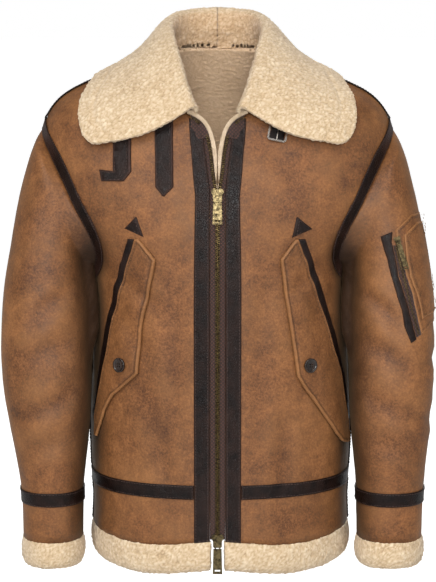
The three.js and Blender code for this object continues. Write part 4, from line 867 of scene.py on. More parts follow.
@dataclass
class ShearlingShell:
    """The seven shearling panels of the body and sleeves: suede outside, wool inside."""

    wardrobe: Wardrobe
    cloth: Cloth
    cuts: dict[str, tuple[Cut, str | None]]
    level: int = 2
    lining_half_mm: float = 78.0
    lining_low_mm: float = -190.0
    tuft_mm: float = 5.5
    panels: dict[str, bpy.types.Object] = field(default_factory=dict)

    def build(self) -> None:
        """Builds every panel."""
        for node, (cut, sleeve) in self.cuts.items():
            piece = subdivided(node, f"{node}_shearling", self.level)
            self.cloth.lay(piece, sleeve)
            tube = self.cloth.sleeves[sleeve] if sleeve else self.cloth.body
            paint(piece, "tuft", np.full(len(piece.data.vertices), 0.5))
            if node == "back":
                self.raise_lining(piece, tube)
            self.wardrobe.dress(piece, Slot.SUEDE)
            piece.data.materials.append(self.wardrobe.finish[Slot.WOOL])
            self.turn_wool_in(piece, tube)
            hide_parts(node)
            cut.declare(piece, "hung", [])
            self.panels[node] = piece
            LOG.info("%s: %d faces", piece.name, len(piece.data.polygons))
        self.shade_sides()

    def shade_sides(self) -> None:
        """Paints shade on the sleeves and the body where they hang against each other."""
        for node, (_, sleeve) in self.cuts.items():
            others = [n for n, (_, s) in self.cuts.items() if (s is None) != (sleeve is None)]
            tree = bvh_of(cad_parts[n] for n in others)
            piece = self.panels[node]
            points = points_of(piece)
            tube = self.cloth.sleeves[sleeve] if sleeve else self.cloth.body
            toward = tube.outward_of(points)[:, 0] * np.sign(points[:, 0]) * (-1 if sleeve else 1)
            far, turn = (0.08, (0.0, 0.65)) if sleeve else (0.04, (0.5, 0.92))
            reach = np.array([tree.find_nearest(Vector(p), far)[3] or far for p in points])
            # Painted shade where the sleeves and the body hang close together, below the underarm
            deep = smoothstep(far, 0.006, reach) * smoothstep(*turn, toward) * smoothstep(-0.2, -0.27, points[:, 2])
            if sleeve:
                self.press(piece, points, tube, reach, toward)
            painted_shade = np.zeros(len(points), np.float32)
            piece.data.attributes["painted_shade"].data.foreach_get("value", painted_shade)
            paint(piece, "painted_shade", np.maximum(painted_shade, 0.94 * deep))

    def press(
        self, piece: bpy.types.Object, points: np.ndarray, tube: Tube, reach: np.ndarray, toward: np.ndarray
    ) -> None:
        """Closes the slit between a sleeve and the body below the underarm.

        Args:
            piece: The sleeve's panel.
            points: Its points.
            tube: The sleeve's tube.
            reach: Each point's distance from the body.
            toward: How far each point faces the body, from -1 to 1.
        """
        outer = np.flatnonzero((normals_of(piece) * tube.outward_of(points)).sum(1) > 0.2)
        close = smoothstep(0.02, 0.013, reach) * smoothstep(0.3, 0.75, toward)
        close = close * smoothstep(-0.225, -0.25, points[:, 2]) * smoothstep(-0.44, -0.38, points[:, 2])
        shift = close * np.maximum(reach - 0.0012, 0)
        near = KDTree(len(outer))
        for i in outer:
            near.insert(points[i], int(i))
        near.balance()
        moved = points.copy()
        moved[:, 0] -= np.sign(points[:, 0]) * shift[[near.find(p)[1] for p in points]]
        move_points(piece, moved)

    def turn_wool_in(self, piece: bpy.types.Object, tube: Tube) -> None:
        """Gives the inner faces the wool finish."""
        centres = np.zeros(len(piece.data.polygons) * 3, np.float32)
        normals = centres.copy()
        piece.data.polygons.foreach_get("center", centres)
        piece.data.polygons.foreach_get("normal", normals)
        out = tube.outward_of(centres.reshape(-1, 3).astype(float))
        inside = (normals.reshape(-1, 3) * out).sum(1) < -0.25
        piece.data.polygons.foreach_set("material_index", inside.astype(np.int32))

    def raise_lining(self, piece: bpy.types.Object, tube: Tube) -> None:
        """Divides the inner back behind the neck finely, raises it in tufts and paints warm shade on it."""
        work = bmesh.new()
        work.from_mesh(piece.data)
        work.normal_update()
        seen = [
            f
            for f in work.faces
            if abs(f.calc_center_median().x) < self.lining_half_mm * MM
            and f.calc_center_median().z > self.lining_low_mm * MM
            and f.normal.y < -0.2
        ]
        edges = list(dict.fromkeys(e for f in seen for e in f.edges))
        bmesh.ops.subdivide_edges(work, edges=edges, cuts=5, use_grid_fill=True)
        work.to_mesh(piece.data)
        work.free()
        piece.data.update()
        points, normals = points_of(piece), normals_of(piece)
        inner = (
            (np.abs(points[:, 0]) < self.lining_half_mm * MM)
            & (points[:, 2] > self.lining_low_mm * MM)
            & ((normals * tube.outward_of(points)).sum(1) < -0.2)
        )
        tufts = np.zeros(len(points))
        tufts[inner] = tuft_heights(points[inner], self.tuft_mm * MM)
        edge = smoothstep(self.lining_half_mm, self.lining_half_mm - 14, np.abs(points[:, 0]) / MM)
        edge = edge * smoothstep(self.lining_low_mm, self.lining_low_mm + 14, points[:, 2] / MM)
        points += normals * (tufts * edge * inner * 1.7 * MM)[:, None]
        move_points(piece, points)
        # Painted shade: the tuft values shade the lining between its tufts, and a warm tint paints shade on the inner
        # back
        paint(piece, "tuft", np.where(inner, 0.5 + 0.5 * tufts, 0.5))
        paint(piece, "inner_shade", np.where(inner, 0.8, 0.5))


# ---------------------------------------------------------------- tapes sewn over seams


class TapeKind(Enum):
    """Where a seam tape runs, which says which way its upper side faces."""

    ROUND_BODY = 0
    ROUND_SLEEVE = 1
    ROUND_ARMHOLE = 2
    OVER_SHOULDER = 3


@dataclass(frozen=True)
class Tape:
    """One leather tape over a seam."""

    node: str
    kind: TapeKind
    cut: Cut
    rests_on: tuple[str, ...]
    sleeve: str | None = None
    slot: Slot = Slot.LEATHER

    @property
    def piece_name(self) -> str:
        """Gives the name of the piece that replaces the node."""
        return f"{self.node}_leather" if self.slot is Slot.LEATHER else f"{self.node}_webbing"


@dataclass
class SeamTapes:
    """The dark leather tapes over the hem, side, armhole, shoulder and cuff seams."""

    wardrobe: Wardrobe
    cloth: Cloth
    tapes: tuple[Tape, ...]
    level: int = 3
    armhole_centre_mm: tuple[float, float, float] = (215.0, 0.0, -205.0)
    pieces: dict[str, bpy.types.Object] = field(default_factory=dict)

    def upward(self, tape: Tape) -> Callable[[np.ndarray], np.ndarray]:
        """Gives the function that says which way is up from the cloth at a tape's points."""
        side = 1.0 if tape.node.endswith("left") else -1.0
        if tape.kind is TapeKind.ROUND_BODY:
            return self.cloth.body.outward_of
        if tape.kind is TapeKind.ROUND_SLEEVE:
            return self.cloth.sleeves[tape.sleeve or ""].outward_of
        if tape.kind is TapeKind.OVER_SHOULDER:
            return lambda points: np.tile(np.array([0.35 * side, 0.0, 0.94]), (len(points), 1))
        centre = np.array(self.armhole_centre_mm) * MM * np.array([side, 1, 1])

        def away(points: np.ndarray) -> np.ndarray:
            """Points away from the armhole's middle."""
            flat = points - centre
            flat[:, 0] = 0.02 * side
            return flat / np.linalg.norm(flat, axis=1, keepdims=True)

        return away

    def build(self) -> None:
        """Builds every tape; its stitches are sewn later by Stitching."""
        for tape in self.tapes:
            piece = subdivided(tape.node, tape.piece_name, self.level - (0), 50)
            self.cloth.lay(piece, tape.sleeve)
            self.soften(piece, self.upward(tape))
            self.wardrobe.dress(piece, tape.slot)
            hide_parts(tape.node)
            tape.cut.declare(piece, "laid", [f"{n}_shearling" for n in tape.rests_on])
            self.pieces[tape.node] = piece
            LOG.info("%s: %d faces", piece.name, len(piece.data.polygons))

    def soften(self, piece: bpy.types.Object, upward: Callable[[np.ndarray], np.ndarray]) -> None:
        """Rubs the tape's edges paler and gives its upper side small uneven swellings."""
        points, normals = points_of(piece), normals_of(piece)
        top = smoothstep(0.2, 0.8, (normals * upward(points)).sum(1))
        swell = 0.22 * fractal(points, 0.012, 3, 2.2) * top
        move_points(piece, points + normals * (swell * MM)[:, None])
        paint(piece, "wear", np.clip(0.75 * (1 - top) * (top > 0.0) + 0.2 * fractal(points, 0.03, 3, 7.7), 0, 0.5))


# ---------------------------------------------------------------- pieces laid on the shell


@dataclass(frozen=True)
class Edge:
    """How a laid piece's top side rises from its cut edge: pairs of distance and height in millimetres."""

    rise: tuple[Point, ...]
    rings: tuple[float, ...]


PLAIN_EDGE = Edge(((0.0, -0.8), (0.5, -0.25), (1.2, 0.0), (2.0, 0.0), (2.6, -0.18), (3.2, 0.0)), (0.6, 1.4, 2.4))
NARROW_EDGE = Edge(((0.0, -0.9), (0.6, -0.2), (1.4, 0.0), (3.0, 0.25)), (0.7,))
FLAP_EDGE = Edge(
    ((0.0, -1.6), (0.7, -0.4), (1.5, 0.35), (2.6, 0.45), (3.6, -0.55), (4.6, -0.45), (6.5, 0.05), (9.0, 0.15)),
    (0.8, 1.7, 2.8, 3.8, 5.0, 6.8),
)
POCKET_EDGE = Edge(((0.0, -1.2), (0.7, -0.3), (1.6, 0.15), (2.4, -0.25), (3.4, 0.0)), (0.8, 1.8, 3.0))


@dataclass(frozen=True)
class Laid:
    """One piece sewn on the shell: its CAD node, finish, edge, cut and what it lies on."""

    node: str
    slot: Slot
    edge: Edge
    cut: Cut
    rests_on: tuple[str, ...]
    sleeve: str | None = None
    step_mm: float = 2.6
    seams_mm: tuple[float, ...] = (2.4,)
    wear: float = 0.2


@dataclass
class Outline:
    """A closed outline in unrolled millimetres, anticlockwise."""

    corners: np.ndarray

    def edge_distance(self, places: np.ndarray) -> np.ndarray:
        """Gives each place's distance to the outline."""
        start, end = self.corners, np.roll(self.corners, -1, 0)
        span = end - start
        least = np.full(len(places), 1e9)
        for a, d in zip(start, span):
            t = np.clip(((places - a) @ d) / max(float(d @ d), 1e-12), 0, 1)
            least = np.minimum(least, np.linalg.norm(places - a - t[:, None] * d, axis=1))
        return least

    def even(self, spacing: float) -> np.ndarray:
        """Gives the outline with its long sides divided."""
        rows = []
        for a, b in zip(self.corners, np.roll(self.corners, -1, 0)):
            count = max(1, int(np.linalg.norm(b - a) / spacing + 0.5))
            rows.extend(a + (b - a) * k / count for k in range(count))
        return np.array(rows)

    def inset(self, distance: float, spacing: float) -> np.ndarray:
        """Gives points on a line inside the outline.

        Args:
            distance: How far inside, in millimetres.
            spacing: Distance between the points.

        Returns:
            Rows of place and direction.
        """
        rows = []
        for a, b in zip(self.corners, np.roll(self.corners, -1, 0)):
            length = float(np.linalg.norm(b - a))
            if length < 1e-6:
                continue
            ahead = (b - a) / length
            inward = np.array([-ahead[1], ahead[0]])
            count = max(1, round(length / spacing))
            rows.extend(
                np.concatenate([a + ahead * length * (k + 0.5) / count + inward * distance, ahead])
                for k in range(count)
            )
        line = np.array(rows)
        return line[self.edge_distance(line[:, :2]) > distance * 0.9]


def simplified(loop: np.ndarray, tolerance: float) -> np.ndarray:
    """Drops the points of a closed loop that lie on a straight run (Douglas and Peucker).

    Args:
        loop: Rows of places.
        tolerance: How far a dropped point may be from the kept line.

    Returns:
        The kept rows.
    """
    far = int(np.argmax(np.linalg.norm(loop - loop[0], axis=1)))

    def keep(run: np.ndarray) -> list[np.ndarray]:
        """Keeps the run's ends and what lies off the line between them."""
        a, b = run[0], run[-1]
        span = b - a
        length = max(float(np.linalg.norm(span)), 1e-9)
        off = np.abs((run - a) @ np.array([-span[1], span[0]])) / length
        worst = int(np.argmax(off))
        if off[worst] <= tolerance or len(run) < 3:
            return [a]
        return keep(run[: worst + 1]) + keep(run[worst:])

    return np.array(keep(loop[: far + 1]) + keep(np.concatenate([loop[far:], loop[:1]])))


# How far a pocket flap's free edge stands off the front
FLAP_STAND_MM = 2.6
# The plackets' corners above this height reach further up, to run under the collar
PLACKET_TOP_MM = -99.0
PLACKET_RISE_MM = 8.0


@dataclass
class LaidPieces:
    """Plackets, welts, flaps, straps and the sleeve pocket, each cut from its CAD outline and laid on the shell."""

    wardrobe: Wardrobe
    cloth: Cloth
    shell: ShearlingShell
    items: tuple[Laid, ...]
    stray_mm: float = 0.9
    neighbours: int = 14
    pieces: dict[str, bpy.types.Object] = field(default_factory=dict)
    outlines: dict[str, Outline] = field(default_factory=dict)
    tops: dict[str, float] = field(default_factory=dict)
    ground: dict[str | None, BVHTree] = field(default_factory=dict)
    plain_ground: dict[str | None, BVHTree] = field(default_factory=dict)

    def tube(self, item: Laid) -> Tube:
        """Gives the tube that the piece lies on."""
        return self.cloth.sleeves[item.sleeve] if item.sleeve else self.cloth.body

    def prepare(self) -> None:
        """Builds the search trees of the dressed shell and of the plain frame under it."""
        for sleeve in (None, "left"):
            names = [n for n, (_, s) in self.shell.cuts.items() if s == sleeve]
            self.ground[sleeve] = bvh_of(self.shell.panels[n] for n in names)
            self.plain_ground[sleeve] = bvh_of(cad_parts[n] for n in names)

    def cast(self, item: Laid, places: np.ndarray, height: np.ndarray) -> tuple[np.ndarray, np.ndarray]:
        """Finds the points above the shell at unrolled places.

        Args:
            item: The piece.
            places: Rows of turned length and height, in metres.
            height: How far above the shell each point is, in metres.

        Returns:
            The points, and the shell's normal at each.
        """
        tube = self.tube(item)
        tree = self.ground[item.sleeve]
        out = tube.outward(places)
        start = np.concatenate([tube.centre_at(places[:, 1]), places[:, 1:]], 1)
        normals = np.zeros((len(places), 3))
        radius = np.full(len(places), np.nan)
        for i, (base, ahead) in enumerate(zip(start, out)):
            hit, normal, _, reach = tree.ray_cast(Vector(base + ahead * 0.5), Vector(-ahead), 0.46)
            if hit is not None:
                radius[i], normals[i] = 0.5 - reach, normal
        met = np.flatnonzero(~np.isnan(radius))
        for i in np.flatnonzero(np.isnan(radius)):
            nearest = met[np.argmin(np.linalg.norm(places[met] - places[i], axis=1))]
            radius[i], normals[i] = radius[nearest], normals[nearest]
        near = KDTree(len(places))
        for i, place in enumerate(places):
            near.insert((place[0], place[1], 0), i)
        near.balance()
        read = radius.copy()
        for i, place in enumerate(places):
            ring = [j for _, j, _ in near.find_n((place[0], place[1], 0), self.neighbours)]
            middle = ring[int(np.argsort(read[ring])[len(ring) // 2])]
            if abs(read[i] - read[middle]) > self.stray_mm * MM:
                radius[i], normals[i] = read[middle], normals[middle]
        slope = np.maximum((normals * out).sum(1), 0.6)
        points = start + out * (radius + height / slope)[:, None]
        return points, normals

    def measure(self, item: Laid) -> tuple[Outline, float, float]:
        """Reads a piece's outline, top and underside from its CAD node.

        Args:
            item: The piece.

        Returns:
            Its outline, and how far its top and underside are above the shell, in metres.
        """
        work = bmesh.new()
        work.from_mesh(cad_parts[item.node].data)
        bmesh.ops.remove_doubles(work, verts=work.verts, dist=2e-5)
        work.normal_update()
        tube = self.tube(item)
        centres = np.array([f.calc_center_median() for f in work.faces])
        out = tube.outward_of(centres)
        tilt = (np.array([f.normal for f in work.faces]) * out).sum(1)
        upper = [f for f, t in zip(work.faces, tilt) if t > 0.3]
        under = {v for f, t in zip(work.faces, tilt) if t < -0.3 for v in f.verts}
        best = max(([loop.vert for loop in run] for run in rims(upper) if len(run) > 2), key=self.reach)
        loop = tube.unroll(np.array([v.co for v in best]))
        tops = np.array([v.co for v in best])
        unders = np.array([v.co for v in under])
        corners = simplified(loop / MM, 0.22)
        area = float(np.sum(corners[:, 0] * np.roll(corners[:, 1], -1) - np.roll(corners[:, 0], -1) * corners[:, 1]))
        if area < 0:
            corners = corners[::-1]
        if item.node.startswith("placket"):
            corners[:, 1] += np.where(corners[:, 1] > PLACKET_TOP_MM, PLACKET_RISE_MM, 0.0)
        top = self.above_plain(item, tops)
        base = self.above_plain(item, unders)
        work.free()
        return Outline(corners), top, base

    @staticmethod
    def reach(run: list[bmesh.types.BMVert]) -> float:
        """Gives a closed run's length."""
        return sum((a.co - b.co).length for a, b in zip(run, run[1:] + run[:1]))

    def above_plain(self, item: Laid, points: np.ndarray) -> float:
        """Gives the middle height of points above the plain frame's panels."""
        tree = self.plain_ground[item.sleeve]
        heights = []
        for p in points:
            hit, normal, _, _ = tree.find_nearest(Vector(p))
            heights.append((Vector(p) - hit).dot(normal))
        return float(np.median(heights))

    def fill(self, item: Laid, outline: Outline) -> tuple[np.ndarray, list[tuple[int, ...]]]:
        """Divides the outline's inside into small faces, with rings along its edge."""
        work = bmesh.new()
        work.faces.new([work.verts.new((x, z, 0)) for x, z in outline.even(item.step_mm)])
        low, high = outline.corners.min(0), outline.corners.max(0)
        for axis in (0, 1):
            normal = Vector((1, 0, 0)) if axis == 0 else Vector((0, 1, 0))
            at = low[axis] + item.step_mm * 0.53
            while at < high[axis]:
                spot = Vector((at, 0, 0)) if axis == 0 else Vector((0, at, 0))
                bmesh.ops.bisect_plane(
                    work, geom=work.verts[:] + work.edges[:] + work.faces[:], plane_co=spot, plane_no=normal, dist=1e-4
                )
                at += item.step_mm
        bmesh.ops.remove_doubles(work, verts=work.verts, dist=0.02)
        for ring in item.edge.rings:
            self.cut_ring(work, outline, ring)
        bmesh.ops.remove_doubles(work, verts=work.verts, dist=0.02)
        bmesh.ops.triangulate(work, faces=work.faces[:])
        bmesh.ops.recalc_face_normals(work, faces=work.faces[:])
        work.verts.index_update()
        work.normal_update()
        flip = sum(f.normal.z for f in work.faces) < 0
        places = np.array([v.co[:2] for v in work.verts])
        faces = [tuple(v.index for v in (reversed(f.verts) if flip else f.verts)) for f in work.faces]
        work.free()
        return places, faces

    @staticmethod
    def cut_ring(work: bmesh.types.BMesh, outline: Outline, distance: float) -> None:
        """Cuts new edges into a flat mesh where the outline is a set distance away."""
        bmesh.ops.triangulate(work, faces=work.faces[:])
        work.verts.index_update()
        away = outline.edge_distance(np.array([v.co[:2] for v in work.verts])) - distance
        crossing = [e for e in work.edges if away[e.verts[0].index] * away[e.verts[1].index] < -1e-4]
        shares = [abs(away[e.verts[0].index]) / sum(abs(away[v.index]) for v in e.verts) for e in crossing]
        made = [
            bmesh.utils.edge_split(edge, edge.verts[0], share)[1] for edge, share in zip(crossing, shares)
        ]
        if made:
            bmesh.ops.connect_verts(work, verts=made)

    def build(self) -> None:
        """Builds every piece."""
        self.prepare()
        for item in self.items:
            outline, top, base = self.measure(item)
            places, faces = self.fill(item, outline)
            distance = outline.edge_distance(places)
            rise = np.interp(distance, *zip(*item.edge.rise))
            where = places * MM
            flat, _ = self.cast(item, where, np.zeros(len(where)))
            uneven = 0.22 * fractal(flat, 0.014, 3, 4.4) * smoothstep(0.5, 4.0, distance)
            height = top + (rise + uneven) * MM
            lower = np.full(len(where), max(base, 0.0002))
            if item.node.startswith("pocket_flap"):
                welt = self.outlines[item.node.replace("flap", "welt")]
                stand = FLAP_STAND_MM * smoothstep(6, 34, welt.edge_distance(places)) * MM
                height, lower = height + stand, lower + 0.85 * stand
            upper_points, _ = self.cast(item, where, np.maximum(height, lower + 0.0004))
            lower_points, _ = self.cast(item, where, lower)
            name = f"{item.node}_cloth" if item.slot is Slot.WEBBING else f"{item.node}_leather"
            piece = new_piece(name, *shut(upper_points, lower_points, faces))
            shade_smooth(piece)
            paint(
                piece,
                "wear",
                np.tile(np.clip(item.wear * (0.15 + smoothstep(3.0, 0.6, distance)), 0, 1), 2)
                + 0.12 * fractal(points_of(piece), 0.03, 3, 6.1),
            )
            if item.slot is Slot.SUEDE:
                # Painted shade in the stitched groove a little inside the edge
                groove = np.exp(-(((distance - 4.1) / 0.9) ** 2)) * 0.55
                paint(piece, "painted_shade", np.tile(groove, 2))
            self.wardrobe.dress(piece, item.slot)
            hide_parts(item.node)
            item.cut.declare(piece, "laid", item.rests_on)
            self.pieces[item.node] = piece
            self.outlines[item.node] = outline
            self.tops[item.node] = top
            LOG.info("%s: %d faces, top %.1f mm", piece.name, len(piece.data.polygons), top / MM)


# ---------------------------------------------------------------- wool


def tuft_heights(points: np.ndarray, size: float) -> np.ndarray:
    """Gives the height of curly tufts at each point.

    Args:
        points: Rows of metres.
        size: Distance between tufts in metres.

    Returns:
        Heights from about 0 between tufts to 1 on them.
    """
    heights = np.zeros(len(points))
    for i, p in enumerate(points):
        at = Vector(p) / size
        at += 0.55 * noise.noise_vector(at * 0.9)
        near, _ = noise.voronoi(at)
        fine, _ = noise.voronoi(at * 2.3 + Vector((4.1, 1.3, 2.7)))
        heights[i] = 0.72 * min(1.0, (near[1] - near[0]) * 1.5) ** 0.7 + 0.28 * min(1.0, (fine[1] - fine[0]) * 1.6)
    return heights


@dataclass(frozen=True)
class Fleece:
    """One wool piece: its CAD node, its mesh size and how its tufts stand."""

    node: str
    cut: Cut
    held: str
    voxel_mm: float = 2.1
    tuft_mm: float = 5.6
    height_mm: float = 2.3
    sink_mm: float = 1.3
    grow_mm: float = 0.9


@dataclass
class WoolTrim:
    """The wide collar and the wool bands at the hem and cuffs, wool side out."""

    wardrobe: Wardrobe
    items: tuple[Fleece, ...]

    def build(self) -> None:
        """Builds every wool piece."""
        for item in self.items:
            piece = subdivided(item.node, f"{item.node}_wool", 2, 70)
            grown = piece.modifiers.new("grown", "DISPLACE")
            grown.strength, grown.mid_level = item.grow_mm * MM, 0.0
            modifier = piece.modifiers.new("even", "REMESH")
            modifier.mode = "VOXEL"
            modifier.voxel_size = item.voxel_mm * MM * 1.0
            relax = piece.modifiers.new("relax", "SMOOTH")
            relax.factor, relax.iterations = 0.5, 4
            finish_modifiers(piece)
            self.raise_tufts(piece, item)
            shade_smooth(piece)
            self.wardrobe.dress(piece, Slot.WOOL)
            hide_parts(item.node)
            item.cut.declare(piece, item.held, [])
            LOG.info("%s: %d faces", piece.name, len(piece.data.polygons))

    def raise_tufts(self, piece: bpy.types.Object, item: Fleece) -> None:
        """Raises tufts over the whole piece, presses the collar's groove and paints warm shade on the collar's inward
        side.
        """
        points, normals = points_of(piece), normals_of(piece)
        tufts = tuft_heights(points, item.tuft_mm * MM)
        lumps = fractal(points, 0.02, 2, 8.8)
        tree = bvh_of([piece])
        wall = np.array(
            [tree.ray_cast(Vector(p - n * 0.1 * MM), Vector(-n), 0.02)[3] or 0.02 for p, n in zip(points, normals)]
        )
        sink = np.minimum(item.sink_mm + item.grow_mm, 0.3 * wall / MM)
        height = -sink + item.height_mm * tufts + 0.6 * lumps
        shift = normals * (height * MM)[:, None]
        if item.node.startswith("collar"):
            inward = -(normals * points).sum(1) / np.linalg.norm(points, axis=1)
            inside = smoothstep(0.0, 0.5, inward)
            shift -= normals * (self.groove(points, normals) * MM)[:, None]
            shift[:, 0] *= smoothstep(0.0005, 0.004, np.abs(points[:, 0]))
            shift[:, 0] -= np.sign(points[:, 0]) * 1.6 * MM * smoothstep(0.005, 0.001, np.abs(points[:, 0]))
            # Painted warm shade on the collar's inward-facing wool
            paint(piece, "inner_shade", 0.6 * inside)
        else:
            shift[:, 2] += 2.2 * MM * smoothstep(0.3, 0.8, normals[:, 2])
        move_points(piece, points + shift)
        # The tuft heights also set the painted shade low between the tufts
        paint(piece, "tuft", tufts)

    @staticmethod
    def groove(points: np.ndarray, normals: np.ndarray) -> np.ndarray:
        """Gives the depth in millimetres of the soft line pressed inside the collar's outer edge."""
        edge = np.array(COLLAR_EDGE_MM) * MM
        folded = points * np.where(points[:, :1] < 0, np.array([[-1.0, 1, 1]]), 1.0)
        away = np.full(len(points), 1e9)
        for a, b in zip(edge, edge[1:]):
            share = np.clip((folded - a) @ (b - a) / ((b - a) @ (b - a)), 0, 1)
            away = np.minimum(away, np.linalg.norm(folded - a - share[:, None] * (b - a), axis=1))
        outside = smoothstep(-0.1, 0.3, (normals * points).sum(1) / np.linalg.norm(points, axis=1))
        return 1.6 * np.exp(-(((away / MM - 27.0) / 3.0) ** 2)) * outside


# ---------------------------------------------------------------- stitches


@dataclass
class Stitching:
    """Rows of sewn stitches, one mesh for each piece that they hold."""

    wardrobe: Wardrobe
    pitch_mm: float = 4.4
    long_mm: float = 3.2
    thick_mm: float = 0.75
    total: int = 0

    def stitch(self) -> Mesh3:
        """Makes one stitch along +X, a small six-sided capsule about the origin."""
        rings = ((-0.5, 0.35), (-0.34, 1.0), (0.34, 1.0), (0.5, 0.35))
        points = [
            (
                self.long_mm * x,
                self.thick_mm / 2 * r * math.cos(math.radians(60 * k)),
                self.thick_mm / 2 * r * math.sin(math.radians(60 * k)),
            )
            for x, r in rings
            for k in range(6)
        ]
        faces: list[tuple[int, ...]] = [tuple(range(5, -1, -1)), tuple(range(18, 24))]
        faces += [
            (6 * j + k, 6 * j + (k + 1) % 6, 6 * j + 6 + (k + 1) % 6, 6 * j + 6 + k) for j in range(3) for k in range(6)
        ]
        return np.array(points), faces

    def sew(
        self, name: str, places: np.ndarray, ahead: np.ndarray, normals: np.ndarray, material: bpy.types.Material,
        slot: Slot,
    ) -> None:
        """Sews a row of stitches.

        Args:
            name: The new piece's name.
            places: The middle of each stitch, in metres.
            ahead: The direction along the row at each.
            normals: The cloth's normal at each.
            material: The thread.
            slot: The slot that the thread belongs to.
        """
        if not len(places):
            return
        verts, faces = self.stitch()
        parts = []
        for at, along, up in zip(places, ahead, normals):
            up = up / np.linalg.norm(up)
            along = along - up * (along @ up)
            along = along / max(np.linalg.norm(along), 1e-9)
            axes = np.stack([along, np.cross(up, along), up])
            parts.append((at + (verts * MM) @ axes, faces))
        piece = new_piece(name, *joined(parts))
        shade_smooth(piece)
        self.wardrobe.dress(piece, slot, material)
        self.total += len(parts)

    def along_tape(self, name: str, tape: bpy.types.Object, upward: Callable[[np.ndarray], np.ndarray]) -> None:
        """Sews both long edges of a seam tape."""
        work = bmesh.new()
        work.from_mesh(tape.data)
        work.normal_update()
        centres = np.array([f.calc_center_median() for f in work.faces])
        tilt = (np.array([f.normal for f in work.faces]) * upward(centres)).sum(1)
        upper = [f for f, t in zip(work.faces, tilt) if t > 0.35]
        places, ahead, normals = [], [], []
        for run in rims(upper):
            self.walk(run, places, ahead, normals)
        if places:
            self.sew(
                name, np.array(places), np.array(ahead), np.array(normals), self.wardrobe.leather_thread, Slot.LEATHER
            )
        work.free()

    def walk(
        self, run: list[bmesh.types.BMLoop], places: list[np.ndarray], ahead: list[np.ndarray],
        normals: list[np.ndarray],
    ) -> None:
        """Places stitches at an even pitch along a run of edges, a little inside it."""
        left = self.pitch_mm * MM / 2
        for loop in run:
            a, b = loop.vert.co, loop.link_loop_next.vert.co
            length = (b - a).length
            if length < 1e-7:
                continue
            along = (b - a) / length
            normal = loop.face.normal
            inward = normal.cross(along)
            while left < length:
                at = a + along * left + inward * (1.9 * MM) + normal * (0.12 * MM)
                places.append(np.array(at))
                ahead.append(np.array(along))
                normals.append(np.array(normal))
                left += self.pitch_mm * MM
            left -= length

    def round_laid(self, laid: LaidPieces) -> None:
        """Sews the laid pieces along their edges."""
        for item in laid.items:
            places, ahead, normals = [], [], []
            for distance in item.seams_mm:
                line = laid.outlines[item.node].inset(distance, self.pitch_mm)
                if not len(line):
                    continue
                where = line[:, :2] * MM
                rise = float(np.interp(distance, *zip(*item.edge.rise)))
                height = np.full(len(where), laid.tops[item.node] + (rise + 0.1) * MM)
                here, up = laid.cast(item, where, height)
                there, _ = laid.cast(item, where + line[:, 2:] * MM, height)
                places.append(here)
                ahead.append(there - here)
                normals.append(up)
            if places:
                thread = self.wardrobe.leather_thread if item.slot is Slot.LEATHER else self.wardrobe.suede_thread
                self.sew(
                    f"{item.node}_stitches", np.concatenate(places), np.concatenate(ahead), np.concatenate(normals),
                    thread, item.slot,
                )


# ---------------------------------------------------------------- hard pieces


@dataclass(frozen=True)
class Seat:
    """Where a hard piece sits: its place in millimetres and the outward and upward directions there."""

    name: str
    place: tuple[float, float, float]
    out: tuple[float, float, float]
    up: tuple[float, float, float]

    def seated(self, verts: np.ndarray, lift_mm: float = 0.0) -> np.ndarray:
        """Moves points made round the origin, with +Z outwards, onto the seat."""
        out = np.array(self.out) / np.linalg.norm(self.out)
        up = np.array(self.up) - out * (np.array(self.up) @ out)
        up = up / np.linalg.norm(up)
        axes = np.stack([np.cross(up, out), up, out])
        return (np.array(self.place) + out * lift_mm) * MM + verts @ axes


def mesh_of(piece: bpy.types.Object) -> Mesh3:
    """Gives a modelled piece's points and faces."""
    return points_of(piece), [tuple(p.vertices) for p in piece.data.polygons]


def choose_faces(piece: bpy.types.Object, test: Callable[[bmesh.types.BMFace], bool]) -> None:
    """Selects, in edit mode, only the faces that pass a test."""
    work = bmesh.from_edit_mesh(piece.data)
    for face in work.faces:
        face.select_set(False)
    for face in work.faces:
        if test(face):
            face.select_set(True)
    work.select_flush_mode()
    bmesh.update_edit_mesh(piece.data)


def turned_blank(
    name: str, sides: int, size_mm: Point, insets_mm: Sequence[Point], rolled_mm: float
) -> bpy.types.Object:
    """Shapes a round blank, dishes its top by insets and rolls its sharp edges.

    Args:
        name: The model's name.
        sides: How many sides its circle has.
        size_mm: Radius and thickness.
        insets_mm: Width and depth of each inset of the top.
        rolled_mm: Width of the rolled edges.

    Returns:
        The model, facing +Z.
    """
    radius, thick = (side * MM for side in size_mm)
    deselect()
    bpy.ops.mesh.primitive_cylinder_add(vertices=sides, radius=radius, depth=thick, location=(0, 0, thick / 2))
    blank = bpy.context.object
    blank.name = name
    bpy.ops.object.transform_apply(location=True, rotation=False, scale=False)
    bpy.ops.object.mode_set(mode="EDIT")
    choose_faces(blank, lambda f: f.normal.z > 0.9)
    for width, depth in insets_mm:
        bpy.ops.mesh.inset(thickness=width * MM, depth=depth * MM)
    bpy.ops.object.mode_set(mode="OBJECT")
    bevel = blank.modifiers.new("rolled_edge", "BEVEL")
    bevel.width, bevel.segments, bevel.limit_method = rolled_mm * MM, 3, "ANGLE"
    finish_modifiers(blank)
    return blank


